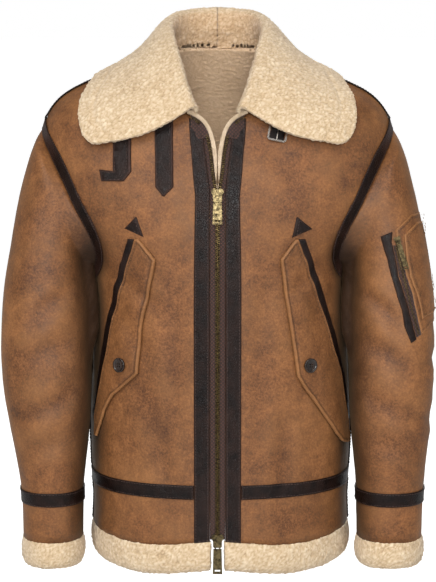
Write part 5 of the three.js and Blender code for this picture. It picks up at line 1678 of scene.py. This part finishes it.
@dataclass
class HornButtons:
    """The two polished four-hole buttons of the pocket flaps."""

    wardrobe: Wardrobe
    seats: tuple[Seat, ...]
    radius_mm: float = 10.3
    thick_mm: float = 3.4
    hole_mm: float = 1.05
    spread_mm: float = 2.3
    insets_mm: tuple[Point, ...] = ((1.9, 0.0), (0.9, -0.95))

    def model(self) -> bpy.types.Object:
        """Shapes one dished button with a rolled rim and four holes, facing +Z."""
        button = turned_blank("button_model", 40, (self.radius_mm, self.thick_mm), self.insets_mm, 0.7)
        for x, y in ((1, 1), (1, -1), (-1, 1), (-1, -1)):
            deselect()
            bpy.ops.mesh.primitive_cylinder_add(
                vertices=12, radius=self.hole_mm * MM, depth=8 * MM,
                location=(x * self.spread_mm * MM / 1.35, y * self.spread_mm * MM / 1.35, self.thick_mm * MM),
            )
            drill = bpy.context.object
            cut = button.modifiers.new("hole", "BOOLEAN")
            cut.operation, cut.object, cut.solver = "DIFFERENCE", drill, "EXACT"
            finish_modifiers(button)
            bpy.data.objects.remove(drill)
        return button

    def build(self) -> None:
        """Copies the button to both flaps."""
        model = self.model()
        verts, faces = mesh_of(model)
        bpy.data.objects.remove(model)
        for seat in self.seats:
            piece = new_piece(f"{seat.name}_horn", seat.seated(verts, FLAP_STAND_MM * 0.9), faces)
            piece.data.shade_smooth()
            pick(piece)
            bpy.ops.object.shade_smooth_by_angle(angle=math.radians(38))
            self.wardrobe.dress(piece, Slot.HORN)
            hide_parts(seat.name)
            LOG.info("%s: %d faces", piece.name, len(faces))


@dataclass
class Eyelets:
    """The five blackened eyelets of the collar straps."""

    wardrobe: Wardrobe
    seats: tuple[Seat, ...]
    flange_mm: float = 4.6
    thick_mm: float = 0.9
    hole_mm: float = 2.5

    def model(self) -> bpy.types.Object:
        """Shapes one rolled eyelet round a sunken well, facing +Z."""
        insets = ((self.flange_mm - self.hole_mm, 0.0), (0.15, -1.1))
        return turned_blank("eyelet_model", 28, (self.flange_mm, self.thick_mm), insets, 0.38)

    def build(self) -> None:
        """Copies the eyelet to its five places."""
        model = self.model()
        verts, faces = mesh_of(model)
        bpy.data.objects.remove(model)
        for seat in self.seats:
            piece = new_piece(f"{seat.name}_ring", seat.seated(verts, 0.15), faces)
            shade_smooth(piece)
            self.wardrobe.dress(piece, Slot.DARK_STEEL)
            piece.data.materials.append(self.wardrobe.finish[Slot.HORN])
            # Painted shade: the well's floor gets the dark horn finish, standing in for the shade seen through the hole
            deep = (verts[:, 2] < 0.2 * MM) & (np.hypot(verts[:, 0], verts[:, 1]) < self.hole_mm * 1.02 * MM)
            for polygon in piece.data.polygons:
                if all(deep[i] for i in polygon.vertices):
                    polygon.material_index = 1
            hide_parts(seat.name)


# Where the teeth run above the slider, as places across and up in millimetres, on the wearer's left
OPEN_LINE_MM = (
    (1.6, -184.0), (4.0, -174.0), (6.3, -163.0), (8.0, -147.5), (9.4, -131.4), (13.0, -112.2),
    (16.6, -101.0), (20.0, -95.0), (25.0, -89.5), (30.0, -86.0), (36.0, -83.0), (44.0, -80.5),
)


def open_line(spacing: float) -> tuple[np.ndarray, np.ndarray]:
    """Spaces points evenly along the open zip's line.

    Args:
        spacing: Distance between points in millimetres.

    Returns:
        The points across and up, and at each the direction towards the opening.
    """
    corners = np.array(OPEN_LINE_MM)
    reach = np.concatenate([[0.0], np.cumsum(np.linalg.norm(np.diff(corners, axis=0), axis=1))])
    at = np.arange(0.0, reach[-1], spacing)
    line = np.stack([np.interp(at, reach, corners[:, k]) for k in (0, 1)], -1)
    soft = np.stack([np.convolve(np.pad(line[:, k], 3, mode="edge"), np.ones(7) / 7, mode="valid") for k in (0, 1)], -1)
    soft[:3], soft[-3:] = line[:3], line[-3:]
    along = np.gradient(soft, axis=0)
    along /= np.linalg.norm(along, axis=1)[:, None]
    return soft, np.stack([-along[:, 1], along[:, 0]], -1)


@dataclass
class ZipChain:
    """The brass teeth of the front zip and of the sleeve pocket's zip."""

    wardrobe: Wardrobe
    tapes: SeamTapes
    laid: LaidPieces
    pitch_mm: float = 2.6
    sleeve_scale: float = 0.62
    tooth_mm: tuple[float, float, float] = (4.4, 2.3, 1.35)
    top_mm: float = -186.0
    bottom_mm: float = -665.0
    sleeve_line_mm: tuple[Point, ...] = (
        (249.0, -262.0), (255.6, -289.0), (262.6, -314.0), (271.2, -350.0), (282.5, -388.0)
    )

    def model(self) -> Mesh3:
        """Shapes one tooth with bevelled edges, its length along +X."""
        deselect()
        bpy.ops.mesh.primitive_cube_add(size=1.0)
        tooth = bpy.context.object
        bpy.ops.object.mode_set(mode="EDIT")
        bpy.ops.mesh.select_all(action="SELECT")
        bpy.ops.transform.resize(value=tuple(side * MM for side in self.tooth_mm))
        bpy.ops.mesh.bevel(offset=0.32 * MM, segments=1, affect="EDGES")
        bpy.ops.object.mode_set(mode="OBJECT")
        made = mesh_of(tooth)
        bpy.data.objects.remove(tooth)
        return made

    def row(self, name: str, places: list[np.ndarray], along: list[np.ndarray], scale: float = 1.0) -> None:
        """Copies the tooth to each place, with its height along the tape.

        Args:
            name: The new piece's name.
            places: The middle of each tooth, in metres.
            along: The tape's direction at each.
            scale: The tooth's size.
        """
        verts, faces = self.model()
        parts = []
        for at, run in zip(places, along):
            run = run / np.linalg.norm(run)
            across = np.cross(run, np.array([0.0, -1.0, 0.0]))
            across = across / np.linalg.norm(across)
            out = np.cross(across, run)
            parts.append((at + (verts * scale) @ np.stack([across, -out, run]), faces))
        piece = new_piece(name, *joined(parts))
        self.wardrobe.dress(piece, Slot.BRASS, self.wardrobe.teeth)
        LOG.info("%s: %d teeth", name, len(parts))

    def build(self) -> None:
        """Sets the teeth on each front tape and on the sleeve pocket's tape."""
        for side, name in ((1.0, "left"), (-1.0, "right")):
            tree = bvh_of([self.tapes.pieces[f"zip_tape_{name}"]])
            heights = np.arange(self.bottom_mm, self.top_mm, self.pitch_mm)
            shift = 0.0 if side > 0 else self.pitch_mm / 2
            places = [self.on_tape(tree, side, 1.35, z + shift, 2.2) for z in heights]
            line, _ = open_line(self.pitch_mm)
            for x, z in line[line[:, 0] < 38]:
                proud = 0.9 + 2.2 * float(smoothstep(-122, -108, z))
                places.append(self.on_tape(tree, side, x, z, x + 2.4) - np.array([0, proud * MM, 0]))
            ends = places[1:] + [places[-1] * 2 - places[-2]]
            self.row(f"zip_teeth_{name}", places, [b - a for a, b in zip(places, ends)])
        self.sleeve_chain()

    def on_tape(self, tree: BVHTree, side: float, x: float, z: float, probe: float) -> np.ndarray:
        """Finds a tooth's place on a tape's edge, reading the tape's face at a probe beside it."""
        hit, _, _, _ = tree.ray_cast(Vector((side * probe * MM, -0.4, z * MM)), Vector((0, 1, 0)), 0.6)
        if hit is None:
            hit, _, _, _ = tree.find_nearest(Vector((side * probe * MM, -0.14, z * MM)))
        return np.array([side * x * MM, hit.y - 0.2 * MM, z * MM])

    def sleeve_chain(self) -> None:
        """Sets small teeth down the middle of the sleeve pocket's tape."""
        tree = bvh_of([self.laid.pieces["sleeve_pocket_zip_tape"]])
        line = np.array(self.sleeve_line_mm)
        reach = np.concatenate([[0.0], np.cumsum(np.linalg.norm(np.diff(line, axis=0), axis=1))])
        places = []
        for s in np.arange(1.5, reach[-1] - 1.5, self.pitch_mm * self.sleeve_scale):
            x, z = np.interp(s, reach, line[:, 0]), np.interp(s, reach, line[:, 1])
            hit, _, _, _ = tree.ray_cast(Vector((x * MM, -0.4, z * MM)), Vector((0, 1, 0)), 0.6)
            if hit is not None:
                places.append(np.array([hit.x, hit.y - 0.1 * MM, hit.z]))
        steps = [b - a for a, b in zip(places, places[1:])]
        self.row("sleeve_zip_teeth", places[:-1], steps, self.sleeve_scale)


@dataclass
class Facings:
    """The pale leather facing inside the open zip's teeth, and the tapes' ends that turn away under the collar."""

    wardrobe: Wardrobe
    tapes: SeamTapes
    shell: ShearlingShell
    thick_mm: float = 1.2
    facing_mm: tuple[float, float] = (3.0, 9.0)
    tape_mm: tuple[float, float] = (3.4, -15.0)
    cut: Cut = Cut(12.0, 130.0, 0.58)

    def build(self) -> None:
        """Builds both facings, narrowing to the slider, and the tapes' turned ends."""
        line, inward = open_line(3.0)
        share = smoothstep(-184.0, -140.0, line[:, 1])
        for side, name in ((1.0, "left"), (-1.0, "right")):
            tree = bvh_of([self.tapes.pieces[f"zip_tape_{name}"]])
            rows = self.offsets(line, inward, self.facing_mm[0], self.facing_mm[1] * (0.15 + 0.85 * share))
            piece = self.strip(f"front_facing_{name}", side, rows, tree, -1.0)
            self.wardrobe.dress(piece, Slot.LEATHER, self.wardrobe.facing)
            self.cut.declare(piece, "laid", [f"zip_tape_{name}_webbing"])
            high = line[:, 1] > -112
            rows = self.offsets(line[high], inward[high], self.tape_mm[0], np.full(high.sum(), self.tape_mm[1]))
            rows[:, :, 0] = np.minimum(rows[:, :, 0], 37.0)
            ground = bvh_of([self.shell.panels[f"front_{name}"]])
            piece = self.strip(f"zip_tape_end_{name}", side, rows[:, ::-1], ground, -0.2)
            self.wardrobe.dress(piece, Slot.WEBBING)
            Cut(18.0, 44.0, 0.9).declare(piece, "laid", [f"zip_tape_{name}_webbing"])

    @staticmethod
    def offsets(line: np.ndarray, inward: np.ndarray, first: float, last: np.ndarray) -> np.ndarray:
        """Gives rows of four places from one side of the line to the other, in millimetres."""
        shares = np.linspace(0, 1, 4)[None, :, None]
        reach = first + (last[:, None, None] - first) * shares
        rows = line[:, None] + inward[:, None] * reach
        rows[:, :, 0] = np.maximum(rows[:, :, 0], 0.5)
        return rows

    def strip(self, name: str, side: float, rows: np.ndarray, tree: BVHTree, lift_mm: float) -> bpy.types.Object:
        """Builds a closed strip over rows of places, just in front of the tape.

        Args:
            name: The piece's name.
            side: 1 on the wearer's left, -1 on the right.
            rows: Rows of places across the strip, in millimetres.
            tree: The tape's search tree.
            lift_mm: How far in front of the tape it lies, below zero in front.

        Returns:
            The smoothed piece.
        """
        count, wide = rows.shape[:2]
        front = []
        for x, z in rows.reshape(-1, 2):
            hit, _, _, _ = tree.find_nearest(Vector((side * (x + 2) * MM, -0.135, z * MM)))
            front.append((side * x * MM, hit.y + lift_mm * MM, z * MM))
        front = np.array(front)
        depth = front[:, 1].reshape(count, wide).mean(1)
        soft = np.convolve(np.pad(depth, 2, mode="edge"), np.ones(5) / 5, mode="valid")
        front[:, 1] = np.repeat(soft, wide)
        back = front + np.array([0, self.thick_mm * MM, 0])
        faces = [
            (i * wide + j, (i + 1) * wide + j, (i + 1) * wide + j + 1, i * wide + j + 1)
            for i in range(count - 1)
            for j in range(wide - 1)
        ]
        if side > 0:
            faces = [tuple(reversed(f)) for f in faces]
        piece = new_piece(name, *shut(front, back, faces))
        smooth = piece.modifiers.new("smooth", "SUBSURF")
        smooth.levels = smooth.render_levels = 1
        finish_modifiers(piece)
        bpy.ops.object.mode_set(mode="EDIT")
        bpy.ops.mesh.select_all(action="SELECT")
        bpy.ops.mesh.normals_make_consistent(inside=False)
        bpy.ops.object.mode_set(mode="OBJECT")
        shade_smooth(piece)
        return piece


@dataclass
class Fittings:
    """Metal fittings whose CAD shape is right: they get their real finish."""

    wardrobe: Wardrobe
    finishes: dict[str, Slot]

    def build(self) -> None:
        """Puts each finish in its node's material slots."""
        for start, slot in self.finishes.items():
            for name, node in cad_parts.items():
                if not name.startswith(start):
                    continue
                if not node.material_slots:
                    node.data.materials.append(self.wardrobe.finish[slot])
                for place in node.material_slots:
                    place.material = self.wardrobe.finish[slot]


@dataclass
class Keepers:
    """The leather loops that hold the two buckles under the collar."""

    wardrobe: Wardrobe
    names: tuple[str, ...] = ("buckle_keeper_inner", "buckle_keeper_outer")
    cut: Cut = Cut(22.0, 60.0, 0.66)

    def build(self) -> None:
        """Smooths and dresses both loops."""
        for name in self.names:
            piece = subdivided(name, f"{name}_leather", 2, 35)
            self.wardrobe.dress(piece, Slot.LEATHER)
            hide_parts(name)
            self.cut.declare(piece, "folded", [])


# ---------------------------------------------------------------- studio


@dataclass
class Studio:
    """A pale floor, soft light and the camera at the photograph's viewing angle."""

    floor_z: float = -1.1
    camera_place: tuple[float, float, float] = (0.0, -2.9708, 0.0775)
    aim: tuple[float, float, float] = (0.0, 0.0, -0.340)
    lens_mm: float = 128.0
    shift_x: float = 0.0009
    sun_from: tuple[float, float, float] = (-0.3, -1.0, 1.2)
    sun_power: float = 1.6
    sun_spread: float = 34.0
    sky_power: float = 0.27
    lamps: tuple[tuple[str, tuple[float, float, float], float, float], ...] = (
        ("left_softbox", (-1.9, -2.2, 0.7), 1.2, 15.0),
        ("right_softbox", (2.1, -2.0, 0.5), 1.2, 12.0),
        ("front_softbox", (0.1, -3.3, 0.45), 1.4, 54.0),
        ("back_softbox", (0.3, 3.0, 1.2), 2.0, 40.0),
    )

    def camera(self) -> None:
        """Sets up the camera."""
        data = bpy.data.cameras.new("photo_camera")
        data.lens, data.sensor_width, data.sensor_fit = self.lens_mm, 36.0, "AUTO"
        data.shift_x = self.shift_x
        camera = bpy.data.objects.new("photo_camera", data)
        bpy.context.scene.collection.objects.link(camera)
        camera.location = self.camera_place
        ahead = Vector(self.aim) - Vector(self.camera_place)
        camera.rotation_euler = ahead.to_track_quat("-Z", "Y").to_euler()
        bpy.context.scene.camera = camera

    def light(self) -> None:
        """Sets up the lamps, the sky and the colour response."""
        for name, place, size, power in self.lamps:
            data = bpy.data.lights.new(name, "AREA")
            data.shape, data.size, data.energy = "DISK", size, power
            lamp = bpy.data.objects.new(name, data)
            bpy.context.scene.collection.objects.link(lamp)
            lamp.location = place
            lamp.rotation_euler = (Vector((0, 0, -0.35)) - Vector(place)).to_track_quat("-Z", "Y").to_euler()
        data = bpy.data.lights.new("key_light", "SUN")
        data.energy, data.angle = self.sun_power, math.radians(self.sun_spread)
        key = bpy.data.objects.new("key_light", data)
        bpy.context.scene.collection.objects.link(key)
        key.rotation_euler = (-Vector(self.sun_from)).to_track_quat("-Z", "Y").to_euler()
        world = bpy.data.worlds.new("studio")
        world.use_nodes = True
        tree = world.node_tree
        background = tree.nodes["Background"]
        background.inputs["Color"].default_value = linear("FFFFFF")
        rays = tree.nodes.new("ShaderNodeLightPath")
        level = tree.nodes.new("ShaderNodeMapRange")
        level.inputs["To Min"].default_value = self.sky_power
        tree.links.new(rays.outputs["Is Camera Ray"], level.inputs["Value"])
        tree.links.new(level.outputs[0], background.inputs["Strength"])
        bpy.context.scene.world = world
        bpy.context.scene.view_settings.view_transform = "Standard"

    def floor(self) -> None:
        """Lays a wide pale floor."""
        deselect()
        bpy.ops.mesh.primitive_circle_add(vertices=64, radius=60.0, fill_type="NGON", location=(0, 0, self.floor_z))
        floor = bpy.context.object
        floor.name = "studio_floor"
        desk = NodeDesk("matt_studio_paper")
        grain = desk.add("ShaderNodeTexNoise", {"Vector": desk.place(), "Scale": 3.0, "Detail": 2.0})
        base = desk.ramp(grain.outputs["Fac"], [(0.3, "CFCFCF"), (0.7, "D6D6D6")])
        paper = desk.add("ShaderNodeBsdfPrincipled", {"Base Color": base, "Roughness": 0.9})
        # The paper is lit to white, as in a studio, and throws only its own soft grey back on the jacket
        rays = desk.add("ShaderNodeLightPath")
        lit = desk.add("ShaderNodeMapRange", {"Value": rays.outputs["Is Camera Ray"], "To Max": 0.6})
        glow = desk.add("ShaderNodeEmission", {"Strength": lit.outputs[0]})
        shader = desk.add("ShaderNodeAddShader", {0: paper.outputs[0], 1: glow.outputs[0]})
        floor.data.materials.append(desk.finish(shader))


# ---------------------------------------------------------------- this jacket

BODY_FOLDS = (
    Fold(View.FRONT, (-150, -300), (-78, -350), 9, 2.0, 5),
    Fold(View.FRONT, (-160, -330), (-95, -420), 11, 1.8, 6),
    Fold(View.FRONT, (-58, -330), (-70, -560), 17, 2.0, 6),
    Fold(View.FRONT, (-95, -480), (-66, -600), 14, 1.8, -4),
    Fold(View.FRONT, (70, -300), (58, -540), 18, 2.1, -6),
    Fold(View.FRONT, (92, -500), (88, -610), 12, 2.0, 4),
    Fold(View.FRONT, (150, -290), (95, -330), 10, 1.8, -4),
    Fold(View.FRONT, (-60, -150), (-110, -215), 15, -1.2, 5),
    Fold(View.FRONT, (55, -140), (120, -200), 16, -1.2, -5),
    Fold(View.FRONT, (140, -330), (120, -480), 12, 1.2, 5),
    Fold(View.BACK, (-150, -290), (-60, -400), 13, 2.6, 7),
    Fold(View.BACK, (150, -295), (70, -420), 14, 2.6, -8),
    Fold(View.BACK, (-60, -330), (-80, -590), 18, 2.2, 8),
    Fold(View.BACK, (65, -380), (50, -600), 18, 2.2, -6),
    Fold(View.BACK, (-10, -430), (0, -620), 15, 1.8, 5),
    Fold(View.BACK, (-90, -150), (90, -160), 20, 1.6, -10),
    Fold(View.LEFT, (-40, -360), (30, -480), 12, 2.0, 5),
    Fold(View.RIGHT, (40, -350), (-30, -470), 12, 2.0, 5),
)
LEFT_SLEEVE_FOLDS = (
    Fold(View.FRONT, (206, -330), (255, -380), 11, 3.2, 5),
    Fold(View.FRONT, (200, -400), (270, -440), 14, 3.4, 7),
    Fold(View.FRONT, (205, -470), (290, -500), 13, 3.0, -6),
    Fold(View.FRONT, (220, -545), (285, -560), 11, 2.2, 5),
    Fold(View.BACK, (205, -340), (290, -400), 14, 3.6, 6),
    Fold(View.BACK, (200, -430), (300, -450), 12, 3.6, -6),
    Fold(View.BACK, (205, -490), (295, -540), 14, 3.0, 6),
    Fold(View.LEFT, (-90, -420), (-20, -455), 13, 3.2, 6),
    Fold(View.LEFT, (-20, -350), (20, -300), 12, 2.4, 5),
    Fold(View.LEFT, (-100, -510), (-30, -500), 12, 2.6, -6),
)
RIGHT_SLEEVE_FOLDS = (
    Fold(View.FRONT, (-208, -330), (-262, -370), 12, 3.2, -5),
    Fold(View.FRONT, (-200, -400), (-280, -430), 14, 3.2, -7),
    Fold(View.FRONT, (-200, -465), (-285, -500), 13, 3.2, 6),
    Fold(View.FRONT, (-210, -535), (-280, -565), 12, 2.4, -5),
    Fold(View.BACK, (-205, -345), (-290, -405), 14, 3.6, -6),
    Fold(View.BACK, (-200, -425), (-300, -455), 12, 3.6, 6),
    Fold(View.BACK, (-205, -500), (-290, -545), 14, 3.0, -6),
    Fold(View.RIGHT, (90, -420), (20, -460), 13, 3.2, 6),
    Fold(View.RIGHT, (20, -340), (-20, -300), 12, 2.4, 5),
    Fold(View.RIGHT, (100, -515), (30, -500), 12, 2.6, -6),
)
QUIET_SPOTS_MM = (
    (-135.6, -111.3, -428.9, 18.0),
    (128.2, -120.4, -427.9, 18.0),
    (-134.0, -108.0, -134.0, 30.0),
    (-75.0, -113.5, -120.0, 38.0),
    (83.2, -109.7, -104.0, 30.0),
    (130.6, -100.0, -97.0, 30.0),
    (249.8, -98.4, -249.5, 26.0),
)
PANEL_CUTS: dict[str, tuple[Cut, str | None]] = {
    "front_left": (Cut(265, 700, 0.88), None),
    "front_right": (Cut(258, 700, 0.89), None),
    "back": (Cut(530, 715, 0.92), None),
    "sleeve_left_front": (Cut(185, 620, 0.88), "left"),
    "sleeve_left_back": (Cut(190, 620, 0.87), "left"),
    "sleeve_right_front": (Cut(185, 620, 0.88), "right"),
    "sleeve_right_back": (Cut(190, 620, 0.87), "right"),
}
BODY_PANELS = ("front_left", "front_right", "back")


def seam_tapes() -> tuple[Tape, ...]:
    """Lists the tapes sewn over the seams, both sides."""
    tapes = [Tape("hem_tape", TapeKind.ROUND_BODY, Cut(20, 1130, 1.0), BODY_PANELS)]
    for side in ("left", "right"):
        sleeve = (f"sleeve_{side}_front", f"sleeve_{side}_back")
        body = (f"front_{side}", "back")
        tapes += [
            Tape(f"armhole_tape_{side}", TapeKind.ROUND_ARMHOLE, Cut(20, 640, 1.0), body),
            Tape(f"side_tape_{side}", TapeKind.ROUND_BODY, Cut(16, 200, 1.0), body),
            Tape(f"side_tape_lower_{side}", TapeKind.ROUND_BODY, Cut(16, 60, 1.0), body),
            Tape(f"shoulder_tape_{side}", TapeKind.OVER_SHOULDER, Cut(18, 172, 1.0), body),
            Tape(f"cuff_tape_{side}", TapeKind.ROUND_SLEEVE, Cut(20, 340, 1.0), sleeve, side),
            Tape(f"zip_tape_{side}", TapeKind.ROUND_BODY, Cut(12, 595, 0.9), body, None, Slot.WEBBING),
        ]
    return tuple(tapes)


def laid_pieces() -> tuple[Laid, ...]:
    """Lists the pieces laid on the shell."""
    items = []
    for side, flap in (("left", Cut(95, 310, 0.62)), ("right", Cut(85, 300, 0.55))):
        on = (f"front_{side}_shearling",)
        items += [
            Laid(f"placket_{side}", Slot.LEATHER, PLAIN_EDGE, Cut(24, 600, 0.92), on),
            Laid(f"pocket_welt_{side}", Slot.LEATHER, NARROW_EDGE, Cut(14, 300, 0.95), on, step_mm=2.2, seams_mm=()),
            Laid(f"pocket_flap_{side}", Slot.SUEDE, FLAP_EDGE, flap, on, step_mm=2.6, seams_mm=(4.1,), wear=0.5),
            Laid(
                f"pocket_arrowhead_{side}", Slot.LEATHER, NARROW_EDGE, Cut(27, 30, 0.5), on, step_mm=1.6,
                seams_mm=(2.0,),
            ),
        ]
    on = ("front_right_shearling",)
    items += [
        Laid("collar_strap_outer", Slot.LEATHER, PLAIN_EDGE, Cut(26, 90, 0.95), on, step_mm=2.0, wear=0.4),
        Laid("collar_strap_inner", Slot.LEATHER, PLAIN_EDGE, Cut(24, 112, 0.95), on, step_mm=2.0, wear=0.4),
    ]
    on = ("sleeve_left_front_shearling", "sleeve_left_back_shearling")
    items += [
        Laid("sleeve_pocket_welt", Slot.LEATHER, NARROW_EDGE, Cut(14, 155, 0.9), on, "left", 2.0, ()),
        Laid("sleeve_pocket_zip_tape", Slot.WEBBING, NARROW_EDGE, Cut(10, 135, 0.95), on, "left", 2.0, ()),
        Laid("sleeve_pocket_patch", Slot.SUEDE, POCKET_EDGE, Cut(95, 165, 0.8), on, "left", 2.6, (2.4,), 0.5),
        Laid("sleeve_pen_pocket", Slot.SUEDE, POCKET_EDGE, Cut(85, 135, 0.8), on, "left", 2.6, (2.4, 5.4), 0.5),
    ]
    return tuple(items)


# The collar leaf's outer edge on the wearer's left, from its front corner to the centre back
COLLAR_EDGE_MM = (
    (174, -107, -122), (190, -90, -106), (193, -70, -78), (182, -40, -45),
    (167, 0, -23), (135, 84, -36), (82, 114, -54), (0, 124, -62),
)
FLEECES = (
    Fleece("collar_left", Cut(200, 400, 0.8), "folded", 2.0, grow_mm=1.7),
    Fleece("collar_right", Cut(200, 400, 0.8), "folded", 2.0, grow_mm=1.7),
    Fleece("hem_fleece", Cut(55, 1130, 1.0), "hung", 2.3),
    Fleece("cuff_fleece_left", Cut(44, 350, 1.0), "hung"),
    Fleece("cuff_fleece_right", Cut(44, 335, 1.0), "hung"),
)
BUTTON_SEATS = (
    Seat("button_right", (-135.58, -111.34, -428.87), (-0.6303, -0.7757, 0.0309), (0.0195, 0.0240, 0.9995)),
    Seat("button_left", (128.17, -120.42, -427.90), (0.5289, -0.8483, 0.0246), (-0.0130, 0.0208, 0.9997)),
)
EYELET_SEATS = (
    Seat("eyelet_outer_1", (-134.00, -104.62, -122.00), (-0.2285, -0.9288, 0.2918), (0.0697, 0.2833, 0.9565)),
    Seat("eyelet_outer_2", (-134.00, -111.07, -146.00), (-0.2456, -0.9415, 0.2308), (0.0583, 0.2233, 0.9730)),
    Seat("eyelet_inner_1", (-76.50, -105.67, -98.00), (-0.0917, -0.9076, 0.4098), (0.0412, 0.4077, 0.9122)),
    Seat("eyelet_inner_2", (-75.00, -113.42, -119.00), (-0.0933, -0.9365, 0.3380), (0.0335, 0.3363, 0.9412)),
    Seat("eyelet_inner_3", (-73.50, -121.32, -143.00), (-0.0951, -0.9573, 0.2731), (0.0270, 0.2717, 0.9620)),
)
METAL_NODES = {
    "slider_": Slot.BRASS,
    "pull_tab_": Slot.BRASS,
    "buckle_frame_": Slot.STEEL,
    "buckle_prong_": Slot.STEEL,
}


def make_cloth() -> Cloth:
    """Measures the body and sleeves and gathers their folds."""
    body = Tube.round_nodes(BODY_PANELS, -0.67, 0.0, 24, True)
    sleeves = {
        side: Tube.round_nodes((f"sleeve_{side}_front", f"sleeve_{side}_back"), -0.68, -0.14, 24, False)
        for side in ("left", "right")
    }
    folds = {"left": LEFT_SLEEVE_FOLDS, "right": RIGHT_SLEEVE_FOLDS}
    return Cloth(body, sleeves, BODY_FOLDS, folds, QUIET_SPOTS_MM)


def main() -> None:
    """Builds the jacket's pieces in order, then the studio."""
    logging.basicConfig(level=logging.INFO, format="%(name)s: %(message)s")
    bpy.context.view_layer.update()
    studio = Studio()
    studio.camera()
    wardrobe = Wardrobe()
    cloth = make_cloth()
    shell = ShearlingShell(wardrobe, cloth, PANEL_CUTS)
    shell.build()
    tapes = SeamTapes(wardrobe, cloth, seam_tapes())
    tapes.build()
    laid = LaidPieces(wardrobe, cloth, shell, laid_pieces())
    laid.build()
    WoolTrim(wardrobe, FLEECES).build()
    Keepers(wardrobe).build()
    sewing = Stitching(wardrobe)
    for tape in (t for t in tapes.tapes if t.slot is Slot.LEATHER):
        sewing.along_tape(f"{tape.node}_stitches", tapes.pieces[tape.node], tapes.upward(tape))
    sewing.round_laid(laid)
    LOG.info("%d stitches", sewing.total)
    ZipChain(wardrobe, tapes, laid).build()
    Facings(wardrobe, tapes, shell).build()
    HornButtons(wardrobe, BUTTON_SEATS).build()
    Eyelets(wardrobe, EYELET_SEATS).build()
    Fittings(wardrobe, METAL_NODES).build()
    studio.light()
    studio.floor()


if __name__ == "__main__":
    main()
